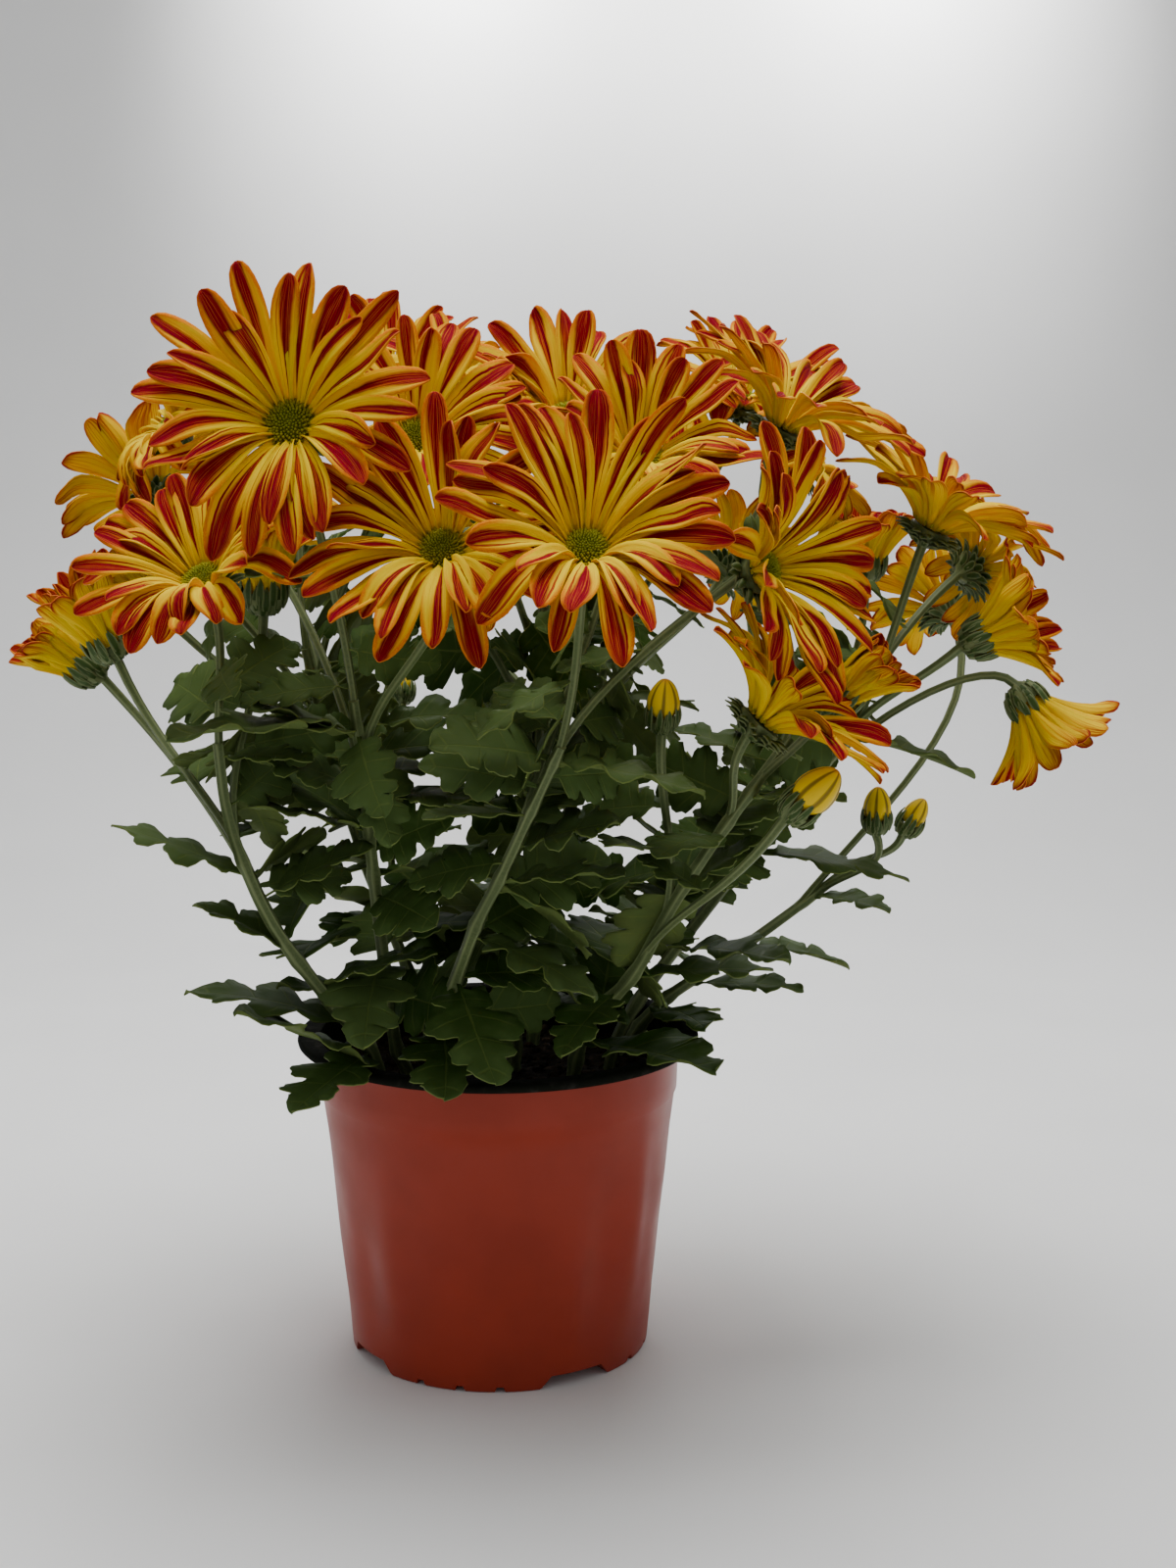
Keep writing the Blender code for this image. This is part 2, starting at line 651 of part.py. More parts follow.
def make_rays(name, matrix, count, start, rays, dome, collection, material):
    """A round plate whose alternate edges are drawn out into rays, given its thickness."""
    work = bmesh.new()
    bmesh.ops.create_circle(
        work, cap_ends=True, cap_tris=bool(dome), segments=2 * count, radius=RAY_ROOT_RADIUS
    )
    for vertex in work.verts:
        if vertex.co.length < 1 * MM:
            vertex.co.z = dome
    half_step = math.pi / count / 2
    lift = Matrix.Translation((0, 0, GAP + RAY_THICKNESS / 2))
    work.transform(matrix @ lift @ Matrix.Rotation(start + half_step, 4, "Z"))
    rim = [edge for edge in work.edges if edge.is_boundary]
    for stations in rays:
        wanted = stations[0][0] - matrix.translation
        edge = min(rim, key=lambda e: (middle(e) - matrix.translation).angle(wanted))
        draw_out(work, edge, stations)
    bmesh.ops.remove_doubles(work, verts=work.verts, dist=0.00001)
    bmesh.ops.triangulate(work, faces=work.faces)
    mesh = bpy.data.meshes.new(name)
    work.to_mesh(mesh)
    work.free()
    obj = add_object(name, mesh, collection, material)
    solidify = obj.modifiers.new("Thickness", "SOLIDIFY")
    solidify.thickness = RAY_THICKNESS
    solidify.offset = 0
    return obj


def middle(edge):
    return (edge.verts[0].co + edge.verts[1].co) / 2


def draw_out(work, edge, stations):
    """Extrudes the edge through the stations. The last one closes to a point."""
    for point, side, half in stations:
        made = bmesh.ops.extrude_edge_only(work, edges=[edge])["geom"]
        verts = [item for item in made if isinstance(item, bmesh.types.BMVert)]
        edge = next(
            item for item in made
            if isinstance(item, bmesh.types.BMEdge) and all(v in verts for v in item.verts)
        )
        first, second = verts
        if (first.co - second.co).dot(side) > 0:
            first, second = second, first
        first.co = point - side * half
        second.co = point + side * half


def make_bud(name, head, collection, material):
    """A ridged egg of closed rays that stands on its cup."""
    _, _, place, azimuth, elevation, length, _ = head
    work = bmesh.new()
    sides = 8
    bmesh.ops.create_uvsphere(work, u_segments=sides, v_segments=4, radius=1)
    radius = 0.40 * length * MM
    height = length * MM
    for vertex in work.verts:
        x, y, z = vertex.co
        up = (z + 1) / 2
        ridge = 1 + 0.10 * math.cos(math.atan2(y, x) * sides / 2)
        narrow = 1 - 0.35 * up
        vertex.co = (x * radius * ridge * narrow, y * radius * ridge * narrow, up * height + GAP)
    work.transform(head_matrix(Vector(place) * MM, azimuth, elevation))
    mesh = bpy.data.meshes.new(name)
    work.to_mesh(mesh)
    work.free()
    return add_object(name, mesh, collection, material)


def make_disc(name, matrix, collection, material):
    """The domed disc of florets inside the ring of rays."""
    profile = [(r * MM, z * MM) for r, z in DISC_PROFILE]
    disc = made_mesh(turned(name, profile, DISC_STEPS, collection), collection)
    disc.data.transform(matrix)
    disc.data.materials.append(material)
    return disc


# The leaf's edge from its stalk to its last lobe: share of the length, half width, the place on
# the rib that it belongs to. The rib's own places are shares of the length.
LEAF_EDGE = (
    (0.22, 0.035, 0), (0.40, 0.24, 0), (0.45, 0.11, 0), (0.66, 0.33, 1), (0.69, 0.15, 1), (0.86, 0.20, 2),
)
LEAF_RIB = (0.30, 0.52, 0.76)


def leaf_surface(root, azimuth, pitch, length, size, seed):
    """Verts and faces of a lobed blade, folded along its rib and arched."""
    rng = random.Random(seed)
    out = facing(azimuth, pitch)
    side = Vector((math.cos(math.radians(azimuth)), math.sin(math.radians(azimuth)), 0))
    normal = out.cross(side) if out.cross(side).z > 0 else side.cross(out)
    full = length * MM * size
    arch = rng.uniform(0.10, 0.22)
    fold = rng.uniform(0.15, 0.35)
    swing = rng.uniform(-0.10, 0.10)

    def place(share, across):
        bend = share * (0.06 - arch * share) + fold * abs(across)
        return root + (out * share + side * (across + swing * share ** 2) + normal * bend) * full

    verts = [place(0, -0.022), place(0, 0.022), place(1, 0)] + [place(share, 0) for share in LEAF_RIB]
    faces = []
    for hand in (-1, 1):
        first = len(verts)
        verts += [place(share, hand * half) for share, half, _ in LEAF_EDGE]
        edge = [0 if hand < 0 else 1] + list(range(first, len(verts))) + [2]
        ribs = [3] + [3 + rib for _, _, rib in LEAF_EDGE] + [5]
        for k in range(len(edge) - 1):
            faces.append((edge[k], edge[k + 1], ribs[k + 1])[::hand])
            if ribs[k] != ribs[k + 1]:
                faces.append((edge[k], ribs[k + 1], ribs[k])[::hand])
    faces.append((0, 3, 1)[::-1])
    return verts, faces


LEAF_TRIES = [
    (turn, tilt, size)
    for size in (1.0, 0.85, 0.7)
    for tilt in (0, 12, -12, 24, -24, 38)
    for turn in (0, 14, -14, 28, -28)
]


def make_leaf(name, path, leaf, collection):
    """A leaf rooted in the middle of its stem, turned clear of what is already there, or none."""
    _, share, azimuth, length, pitch = leaf
    root, _ = along(path, share)
    own_green = [leaf[0]] + [f"{head} stem" for head in HEADS if HEADS[head][0] == leaf[0]]
    for turn, tilt, size in LEAF_TRIES:
        verts, faces = leaf_surface(root, azimuth + turn, pitch + tilt, length, size, name)
        blade = [face for face in faces if 0 not in face and 1 not in face]
        whole = thick_tree(verts, faces, LEAF_THICKNESS)
        if is_clear(thick_tree(verts, blade, LEAF_THICKNESS)) and is_clear(whole, own_green):
            break
    else:
        print("no room for", name)
        return None
    obstacles[name] = thick_tree(verts, faces, LEAF_THICKNESS / 2)
    work = bmesh.new()
    made = [work.verts.new(v) for v in verts]
    for face in faces:
        work.faces.new([made[i] for i in face])
    bmesh.ops.triangulate(work, faces=work.faces)
    mesh = bpy.data.meshes.new(name)
    work.to_mesh(mesh)
    work.free()
    obj = add_object(name, mesh, collection)
    solidify = obj.modifiers.new("Thickness", "SOLIDIFY")
    solidify.thickness = LEAF_THICKNESS
    solidify.offset = 0
    bpy.context.view_layer.update()
    return made_mesh(obj, collection)


def filler_leaves():
    """More leaves up each of the canes at the back, a golden angle apart."""
    leaves = []
    for cane, (count, start) in FILLER_LEAVES.items():
        for k in range(count):
            share = 0.24 + 0.70 * k / max(count - 1, 1)
            leaves.append((cane, share, start + GOLDEN_ANGLE * k, 50 - 12 * share, 12 - 20 * (1 - share)))
    return leaves


def build():
    clear_scene()
    plant = new_collection("Potted chrysanthemum")
    terracotta = new_material("terracotta plastic", (0.45, 0.09, 0.04), 0.4)
    peat = new_material("potting soil", (0.03, 0.02, 0.015), 0.95)
    green = new_material("stem and leaf green", (0.06, 0.13, 0.04), 0.55)
    gold = new_material("gold ray with red", (0.85, 0.30, 0.03), 0.5)
    lime = new_material("green-gold disc", (0.35, 0.36, 0.04), 0.7)

    pot = make_pot(plant, terracotta)
    soil = make_soil(plant, peat)
    bpy.context.view_layer.update()
    for obj in (pot, soil):
        mesh = evaluated_mesh(obj)
        work = bmesh.new()
        work.from_mesh(mesh)
        obstacles[obj.name] = BVHTree.FromBMesh(work)
        work.free()
        bpy.data.meshes.remove(mesh)

    place_cores()
    cane_paths = {}
    for name, points in CANES.items():
        cane_paths[name] = [Vector(p) * MM for p in points]
        radii = [CANE_RADIUS + GAP] * (len(points) - 1)
        obstacles[name] = path_tree(cane_paths[name][1:], radii)
    pedicels = lay_pedicels(cane_paths)

    for name, head in HEADS.items():
        if head[-1] == "bud":
            make_bud(name, head, plant, gold)
            continue
        matrix, count, start, rays = clear_rays(name, head)
        if name in WITH_OWN_DISC:
            make_rays(f"{name}_rays", matrix, count, start, rays, 0, plant, gold)
            make_disc(f"{name}_disc", matrix, plant, lime)
        else:
            make_rays(name, matrix, count, start, rays, FLORET_DOME, plant, gold)

    leaves = list(LEAVES) + filler_leaves()
    for cane, path in cane_paths.items():
        parts = new_collection(f"{cane} parts")
        radii = [
            CANE_RADIUS + (CANE_TIP_RADIUS - CANE_RADIUS) * k / (len(path) - 1)
            for k in range(len(path))
        ]
        stem = tube(cane, path, radii, plant)
        stem.data.materials.append(green)
        for name, head in HEADS.items():
            if head[0] == cane:
                tube(f"{name} stem", *with_cup(pedicels[name], head), parts)
        for index, leaf in enumerate(leaves):
            if leaf[0] == cane:
                make_leaf(f"leaf {index}", path, leaf, parts)
        fuse(stem, parts)


build()
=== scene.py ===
"""Potted chrysanthemum: the look of its pot, soil, leafy canes and striped flowers.

Metres, +Z up. Azimuth 0 faces the viewer, along -Y, and 90 faces +X. The tables that say where
canes, heads and leaves are hold millimetres and degrees, as in the solid model.
"""

import math
import random
from collections import namedtuple

import bmesh
import bpy
from bpy.props import FloatProperty, FloatVectorProperty, IntProperty
from mathutils import Matrix, Vector, noise
from mathutils.bvhtree import BVHTree
from mathutils.kdtree import KDTree


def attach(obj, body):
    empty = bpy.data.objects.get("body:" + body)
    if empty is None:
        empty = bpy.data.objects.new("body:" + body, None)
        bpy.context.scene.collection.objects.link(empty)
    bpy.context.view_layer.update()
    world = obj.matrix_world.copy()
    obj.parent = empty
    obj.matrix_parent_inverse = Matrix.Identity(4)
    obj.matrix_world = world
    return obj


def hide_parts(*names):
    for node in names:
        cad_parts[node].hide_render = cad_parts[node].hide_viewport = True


bl_info = {
    "name": "Potted chrysanthemum",
    "version": (1, 0, 0),
    "blender": (4, 5, 0),
    "location": "View3D > Sidebar > Chrysanthemum",
    "description": "Models a potted chrysanthemum with striped daisy flowers",
    "category": "Add Mesh",
}

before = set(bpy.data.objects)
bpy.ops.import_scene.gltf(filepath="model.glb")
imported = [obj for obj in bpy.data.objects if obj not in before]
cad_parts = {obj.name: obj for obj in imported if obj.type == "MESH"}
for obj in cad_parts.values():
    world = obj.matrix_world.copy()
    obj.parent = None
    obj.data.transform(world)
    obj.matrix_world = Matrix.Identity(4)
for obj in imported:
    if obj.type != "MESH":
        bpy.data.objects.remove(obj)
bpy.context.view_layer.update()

MM = 0.001
UP = Vector((0, 0, 1))
GAP = 0.3 * MM

# The canes, as points from the soil upwards. The first two are the part in the soil.
CANE_RADIUS = 2.6 * MM
CANE_TIP_RADIUS = 1.7 * MM
PEDICEL_RADIUS = 1.35 * MM
PEDICEL_SPANS = 3
CANES = {
    "cane_left": (
        (-42, -35, 86), (-42, -35, 106), (-44, -42, 124), (-55, -56, 143), (-73, -69, 173),
        (-83, -75, 198), (-88, -78, 218), (-90, -80, 240),
    ),
    "cane_front_left": (
        (-33, -14, 86), (-33, -14, 106), (-37, -22, 122), (-40, -42, 167), (-41, -60, 198),
        (-42, -75, 229), (-44, -85, 255),
    ),
    "cane_front": (
        (-22, -30, 86), (-22, -30, 106), (-19, -42, 131), (-6, -68, 172), (4, -80, 194),
        (15, -98, 220), (25, -108, 243),
    ),
    "cane_front_right": (
        (28, -22, 86), (28, -22, 106), (34, -30, 130), (50, -50, 154), (62, -64, 180),
        (74, -74, 202), (88, -74, 222), (102, -68, 240),
    ),
    "cane_right": (
        (42, 2, 86), (42, 2, 106), (52, 1, 130), (85, -2, 176), (108, -3, 205), (132, -8, 236),
    ),
    "cane_low_right": (
        (48, 20, 86), (48, 20, 106), (62, 24, 124), (86, 34, 138), (112, 42, 155), (136, 48, 172),
    ),
    "cane_middle": (
        (6, 4, 86), (6, 4, 106), (8, 0, 140), (12, -8, 190), (16, -14, 240), (18, -16, 280),
    ),
    "cane_back": (
        (12, 34, 86), (12, 34, 106), (16, 46, 140), (26, 58, 190), (38, 66, 240), (46, 66, 280),
    ),
    "cane_back_left": (
        (-26, 20, 86), (-26, 20, 106), (-34, 28, 130), (-52, 36, 175), (-66, 38, 220), (-74, 34, 260),
    ),
}

# The flower heads: cane, place on it, head's place, azimuth, elevation, ray length, form.
Head = namedtuple("Head", "cane share place azimuth elevation size form")
HEADS = {
    "bloom_01": ("cane_front_left", 0.97, (-58, -125, 345), -4, 27, 47, "open"),
    "bloom_02": ("cane_front", 0.98, (33, -150, 308), 8, 44, 46, "open"),
    "bloom_03": ("cane_front_left", 0.84, (-11, -135, 307), -6, 40, 44, "open"),
    "bloom_04": ("cane_front", 0.90, (89, -100, 299), 52, 16, 43, "open"),
    "bloom_05": ("cane_left", 0.97, (-92, -88, 294), -24, 52, 39, "open"),
    "bloom_06": ("cane_front_right", 0.97, (100, -45, 344), 66, 62, 45, "open"),
    "bloom_07": ("cane_right", 0.97, (156, -15, 308), 70, 64, 42, "open"),
    "bloom_08": ("cane_back_left", 0.85, (-40, 4, 356), -10, 58, 39, "open"),
    "bloom_09": ("cane_back", 0.93, (94, 80, 352), 30, 64, 38, "open"),
    "bloom_10": ("cane_back", 0.80, (38, 116, 330), 175, 50, 38, "open"),
    "bloom_11": ("cane_middle", 0.80, (-12, -42, 358), -20, 74, 36, "reflexed"),
    "bloom_12": ("cane_middle", 0.92, (5, 32, 358), 10, 72, 36, "reflexed"),
    "bloom_13": ("cane_middle", 0.98, (27, -34, 346), 8, 52, 39, "open"),
    "bloom_14": ("cane_front", 0.76, (50, -84, 334), 15, 46, 38, "open"),
    "bloom_15": ("cane_back", 0.90, (66, 46, 352), -10, 74, 35, "reflexed"),
    "bloom_16": ("cane_front_left", 0.70, (-112, -22, 343), -75, 40, 32, "reflexed"),
    "bloom_17": ("cane_back_left", 0.74, (-126, 12, 318), -135, 40, 35, "open"),
    "bloom_18": ("cane_right", 0.86, (180, 38, 290), 115, 18, 34, "reflexed"),
    "bloom_19": ("cane_right", 0.64, (114, 38, 330), 95, 30, 31, "reflexed"),
    "bloom_20": ("cane_front_right", 0.80, (90, -100, 250), 80, 48, 40, "open"),
    "bloom_21": ("cane_back_left", 0.60, (-130, 24, 276), -100, 30, 28, "open"),
    "bloom_22": ("cane_low_right", 0.80, (177, 94, 271), -150, 34, 27, "open"),
    "bloom_23": ("cane_middle", 0.66, (-22, -80, 340), 18, 42, 40, "open"),
    "bloom_24": ("cane_back", 0.66, (92, 118, 284), 140, 30, 32, "open"),
    "bloom_25": ("cane_back_left", 0.97, (-80, 62, 342), -160, 66, 36, "open"),
    "bloom_26": ("cane_back_left", 0.50, (-92, 104, 292), -150, 32, 33, "open"),
    "bloom_27": ("cane_back", 0.56, (-20, 128, 284), 176, 28, 33, "reflexed"),
    "opening_01": ("cane_right", 0.92, (170, -40, 271), 80, 26, 30, "cup"),
    "opening_02": ("cane_right", 0.78, (195, 4, 244), 80, -56, 31, "cup"),
    "opening_03": ("cane_front_right", 0.90, (118, -66, 254), 75, 42, 25, "shut"),
    "opening_04": ("cane_right", 0.50, (142, 60, 290), 0, 84, 26, "cup"),
    "opening_05": ("cane_left", 0.80, (-76, -62, 288), 20, 80, 26, "shut"),
    "opening_06": ("cane_left", 0.66, (-136, -30, 268), -62, 60, 30, "shut"),
    "opening_07": ("cane_left", 0.56, (-150, 2, 256), -80, 36, 26, "shut"),
    "bud_01": ("cane_front_right", 0.42, (101, -110, 223), 80, 44, 18, "bud"),
    "bud_02": ("cane_low_right", 0.90, (144, 28, 194), 0, 80, 14, "bud"),
    "bud_03": ("cane_low_right", 0.98, (158, 42, 190), 90, 60, 12, "bud"),
    "bud_04": ("cane_front_right", 0.56, (58, -92, 250), 10, 70, 14, "bud"),
    "bud_05": ("cane_back_left", 0.30, (-42, 96, 235), 180, 60, 10, "bud"),
}
HEADS = {name: Head(*values) for name, values in HEADS.items()}
WIDE_FORMS = ("open", "reflexed")
WITH_OWN_DISC = tuple(f"bloom_{number:02d}" for number in range(1, 11))

# How the solid head's rays leave it: rays, lift at the root and at the tip in degrees, and sag.
FORMS = {
    "open": (11, 50, 8, 0.20),
    "reflexed": (9, 28, -70, 0.10),
    "cup": (8, 60, 34, 0.06),
    "shut": (7, 76, 66, 0.0),
}
RAYS_WITH_FUSED_DISC = 9
RAY_THICKNESS = 0.7 * MM
RAY_ROOT_RADIUS = 6.4 * MM
RAY_TRIES = [
    (turn, size)
    for size in (1.0, 0.82, 0.64, 0.48)
    for turn in (0, 9, -9, 18, -18, 28, -28, 40, -40, 55)
]

# The green cup under a head, as distances behind it and radii.
CUP_STATIONS = ((-7.2, 1.35), (-6.5, 3.1), (-5.2, 5.0), (-3.2, 6.6), (-1.4, 7.2), (0.0, 7.4))

# The leaves that stand out, cane by cane: place on it, azimuth, length, pitch.
Leaf = namedtuple("Leaf", "cane share azimuth size pitch")
LEAVES = {
    "cane_left": (
        (0.30, -92, 60, 22), (0.17, -80, 68, 10), (0.22, -55, 46, -8), (0.52, -95, 40, 34),
        (0.72, -85, 50, 24), (0.44, 80, 44, 20),
    ),
    "cane_front_left": (
        (0.42, -8, 52, -22), (0.62, 62, 60, 2), (0.93, -88, 66, 10), (0.80, 74, 50, 4),
        (0.30, -50, 44, 5), (0.72, -60, 44, 20),
    ),
    "cane_front": (
        (0.26, 10, 50, -30), (0.40, 14, 50, -24), (0.52, 66, 50, -10), (0.66, 75, 44, 10),
        (0.84, -70, 40, 12), (0.96, 78, 50, -4),
    ),
    "cane_front_right": (
        (0.20, 50, 56, -8), (0.42, 84, 50, 6), (0.36, -30, 44, -10), (0.64, 100, 34, 40),
        (0.78, -35, 40, 6), (0.86, 70, 36, 10),
    ),
    "cane_right": (
        (0.66, 88, 58, -4), (0.97, 92, 50, -14), (0.40, 60, 46, 6), (0.86, 170, 38, 20),
    ),
    "cane_low_right": (
        (0.42, 75, 44, 4), (0.62, 100, 42, -8), (0.86, 60, 34, 5), (0.30, 30, 40, -4),
    ),
}

# The other canes' leaves: how many, and the azimuth of the lowest.
FILLER_LEAVES = {"cane_middle": (4, 40), "cane_back": (5, 150), "cane_back_left": (5, 200)}
GOLDEN_ANGLE = 137.5
LEAF_TRIES = [
    (turn, tilt, size)
    for size in (1.0, 0.85, 0.7)
    for tilt in (0, 12, -12, 24, -24, 38)
    for turn in (0, 14, -14, 28, -28)
]


def length(name, description, default):
    return FloatProperty(name=name, description=description, default=default, min=0, unit="LENGTH")


def tint(name, description, default):
    return FloatVectorProperty(
        name=name, description=description, default=default, size=3, min=0, max=1, subtype="COLOR"
    )


class PotSettings(bpy.types.PropertyGroup):
    rim_radius: length("Rim radius", "Outer radius of the lip", 75 * MM)
    height: length("Height", "Height of the pot", 120 * MM)
    lip_height: length("Lip height", "Height of the rolled lip", 3.2 * MM)
    wall: length("Wall", "Thickness of the wall", 1.2 * MM)
    neck_radius: length("Neck radius", "Outer radius of the wall under the lip", 67.6 * MM)
    step_height: length("Step height", "Height where the wall steps in", 99 * MM)
    step_depth: length("Step depth", "Depth of that step", 0.6 * MM)
    foot_radius: length("Foot radius", "Outer radius at the ground", 56 * MM)
    foot_width: length("Foot width", "Width of the foot ring", 10 * MM)
    pad_radius: length("Pad radius", "Radius of the flat pad under the floor", 20 * MM)
    steps: IntProperty(name="Steps", description="Steps round the pot", default=144, min=24)
    dent: length("Dent", "Depth of the soft dents in the wall", 2.0 * MM)
    outside: tint("Outside", "Terracotta plastic", (0.32, 0.033, 0.014))
    inside: tint("Inside", "Black plastic of the lip and the inside", (0.010, 0.011, 0.008))
    dust: tint("Dust", "Dust on the inside", (0.05, 0.045, 0.04))


class SoilSettings(bpy.types.PropertyGroup):
    level: length("Level", "Height of the soil above the ground", 104 * MM)
    relief: length("Relief", "Height of its bumps", 1.8 * MM)
    crumbs: IntProperty(name="Crumbs", description="Loose crumbs on it", default=520, min=0)
    dark: tint("Dark", "Moist peat", (0.010, 0.007, 0.005))
    light: tint("Light", "Dry fibres and bark", (0.060, 0.038, 0.022))


class StemSettings(bpy.types.PropertyGroup):
    ribs: IntProperty(name="Ribs", description="Ribs along a stem", default=5, min=3)
    rib_depth: FloatProperty(name="Rib depth", description="Share of the radius", default=0.10)
    skin: tint("Skin", "Green of the grooves", (0.085, 0.118, 0.040))
    ridge: tint("Ridge", "Pale green of the ribs", (0.18, 0.22, 0.090))
    bract: tint("Bract", "Green of the cups under the heads", (0.045, 0.085, 0.018))


class LeafSettings(bpy.types.PropertyGroup):
    thickness: length("Thickness", "Thickness of a blade", 0.5 * MM)
    breadth: FloatProperty(name="Breadth", description="Share of the outline's width", default=1.0)
    more: IntProperty(name="More", description="Leaves added to each cane", default=15, min=0)
    on_stems: IntProperty(name="On stems", description="Leaves on each flower stem", default=4, min=0)
    top: tint("Top", "Dark green upper side", (0.023, 0.058, 0.005))
    # The lighter green: each leaf's own lighter tone and its mottle, and also painted light on the outer
    # leaves.
    young_and_lit: tint("Young", "Upper side of the lighter leaves", (0.078, 0.125, 0.034))
    underside: tint("Underside", "Grey-green lower side", (0.115, 0.155, 0.042))
    vein: tint("Vein", "Pale veins", (0.14, 0.19, 0.040))


class PetalSettings(bpy.types.PropertyGroup):
    thickness: length("Thickness", "Thickness of a petal", 0.4 * MM)
    width: length("Width", "Width of a full-grown petal", 9.7 * MM)
    yellow: tint("Yellow", "Yellow of the upper side", (0.85, 0.575, 0.001))
    crimson: tint("Crimson", "Crimson of the stripes", (0.25, 0.003, 0.013))
    orange: tint("Orange", "Flush towards the tips", (0.62, 0.145, 0.006))
    gold: tint("Gold", "Golden lower side", (0.78, 0.52, 0.002))
    disc_green: tint("Disc green", "Middle of the disc", (0.20, 0.22, 0.004))
    disc_yellow: tint("Disc yellow", "Edge of the disc", (0.42, 0.35, 0.005))


class StageSettings(bpy.types.PropertyGroup):
    backdrop: tint("Backdrop", "Pale grey sweep", (0.86, 0.86, 0.85))
    air: tint("Air", "Light from all sides", (0.80, 0.81, 0.83))
    air_strength: FloatProperty(name="Air strength", description="Strength of that light", default=0.51)
    top_power: FloatProperty(name="Top light", description="Watts over the plant", default=8.5)
    wall_power: FloatProperty(name="Wall light", description="Watts on the backdrop", default=0.8)
    glow_power: FloatProperty(name="Wall glow", description="Watts of each hot spot", default=1.7)


# Small helpers

def smooth_step(value):
    value = min(max(value, 0.0), 1.0)
    return value * value * (3 - 2 * value)


def pulse(value, middle, width):
    return math.exp(-(((value - middle) / width) ** 2))


def polar(angle):
    return Vector((math.cos(angle), math.sin(angle), 0))


def deselect_all():
    if bpy.context.mode != "OBJECT":
        bpy.ops.object.mode_set(mode="OBJECT")
    bpy.ops.object.select_all(action="DESELECT")


def select_only(obj):
    deselect_all()
    obj.select_set(True)
    bpy.context.view_layer.objects.active = obj


def added(operator, **settings):
    """Runs an operator that adds an object, and returns that object."""
    deselect_all()
    operator(**settings)
    return bpy.context.object


def new_object(name, mesh):
    obj = bpy.data.objects.new(name, mesh)
    bpy.context.scene.collection.objects.link(obj)
    return obj


def discard(obj):
    mesh = obj.data
    bpy.data.objects.remove(obj)
    bpy.data.meshes.remove(mesh)


def apply_modifiers(obj):
    select_only(obj)
    for modifier in list(obj.modifiers):
        bpy.ops.object.modifier_apply(modifier=modifier.name)


def smooth_below(obj, degrees):
    """Shades the object smooth, but for the edges where it turns by more than this angle."""
    select_only(obj)
    bpy.ops.object.shade_smooth_by_angle(angle=math.radians(degrees))


def blank_from(operator, **settings):
    """A small mesh to copy. Its second UV map is for each copy's own chances."""
    blank = added(operator, **settings)
    blank.data.uv_layers[0].name = "blade"
    blank.data.uv_layers.new(name="chance")
    return blank


def grid_blank(columns, rows):
    """A flat grid from -1 to 1 both ways."""
    add_grid = bpy.ops.mesh.primitive_grid_add
    return blank_from(add_grid, x_subdivisions=columns, y_subdivisions=rows, size=2)


def ball_blank():
    return blank_from(bpy.ops.mesh.primitive_ico_sphere_add, subdivisions=1, radius=1)


def put_copy(work, blank, place, chance):
    """Adds a copy of the blank. Each of its points goes where place says, and chance is its own."""
    first_vertex = len(work.verts)
    first_face = len(work.faces)
    work.from_mesh(blank.data)
    work.verts.ensure_lookup_table()
    work.faces.ensure_lookup_table()
    for vertex in work.verts[first_vertex:]:
        vertex.co = place(vertex.co)
    layer = work.loops.layers.uv["chance"]
    for face in work.faces[first_face:]:
        face.smooth = True
        for loop in face.loops:
            loop[layer].uv = chance


def piece_from(work, name, materials):
    mesh = bpy.data.meshes.new(name)
    work.to_mesh(mesh)
    work.free()
    for material in materials:
        mesh.materials.append(material)
    return new_object(name, mesh)


def thicken(obj, thickness):
    """Gives an open blade its thickness. Its underside takes the second material, its edge the third."""
    solidify = obj.modifiers.new("Thickness", "SOLIDIFY")
    solidify.thickness = thickness
    solidify.offset = 0
    solidify.material_offset = 1
    solidify.material_offset_rim = 2
    apply_modifiers(obj)


def settle(obj, slot, *nodes):
    """The finished piece rides with the plant, and stands for the solids that it refines."""
    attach(obj, "root")
    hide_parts(*nodes)


def turned(name, profile, steps):
    """A closed solid spun about Z from (radius, height) pairs that start and end on the axis."""
    mesh = bpy.data.meshes.new(name)
    edges = [(i, i + 1) for i in range(len(profile) - 1)]
    mesh.from_pydata([(r, 0, z) for r, z in profile], edges, [])
    obj = new_object(name, mesh)
    select_only(obj)
    bpy.ops.object.mode_set(mode="EDIT")
    bpy.ops.mesh.select_all(action="SELECT")
    bpy.ops.mesh.spin(steps=steps, angle=2 * math.pi, center=(0, 0, 0), axis=(0, 0, 1))
    bpy.ops.mesh.select_all(action="SELECT")
    bpy.ops.mesh.remove_doubles(threshold=0.02 * MM)
    bpy.ops.mesh.normals_make_consistent(inside=False)
    bpy.ops.object.mode_set(mode="OBJECT")
    return obj


# Materials

class Value:
    """A number, colour or vector in a material, which takes plain arithmetic."""

    def __init__(self, look, socket):
        self.look = look
        self.socket = socket

    def math(self, operation, other=0.0):
        return self.look.node("ShaderNodeMath", {0: self, 1: other}, operation=operation)

    def __add__(self, other):
        return self.math("ADD", other)

    def __sub__(self, other):
        return self.math("SUBTRACT", other)

    def __mul__(self, other):
        return self.math("MULTIPLY", other)

    def __abs__(self):
        return self.math("ABSOLUTE")

    def larger(self, other):
        return self.math("MAXIMUM", other)

    def ramp(self, low, high, out_low=0.0, out_high=1.0):
        """Goes smoothly from out_low, where the value is low, to out_high, where it is high."""
        inputs = {0: self, 1: low, 2: high, 3: out_low, 4: out_high}
        return self.look.node("ShaderNodeMapRange", inputs, interpolation_type="SMOOTHSTEP")

    def stripe(self, middle, half_width):
        """One in a band about the middle and nothing outside it, with a soft edge."""
        return abs(self - middle).ramp(half_width * 0.55, half_width, 1.0, 0.0)


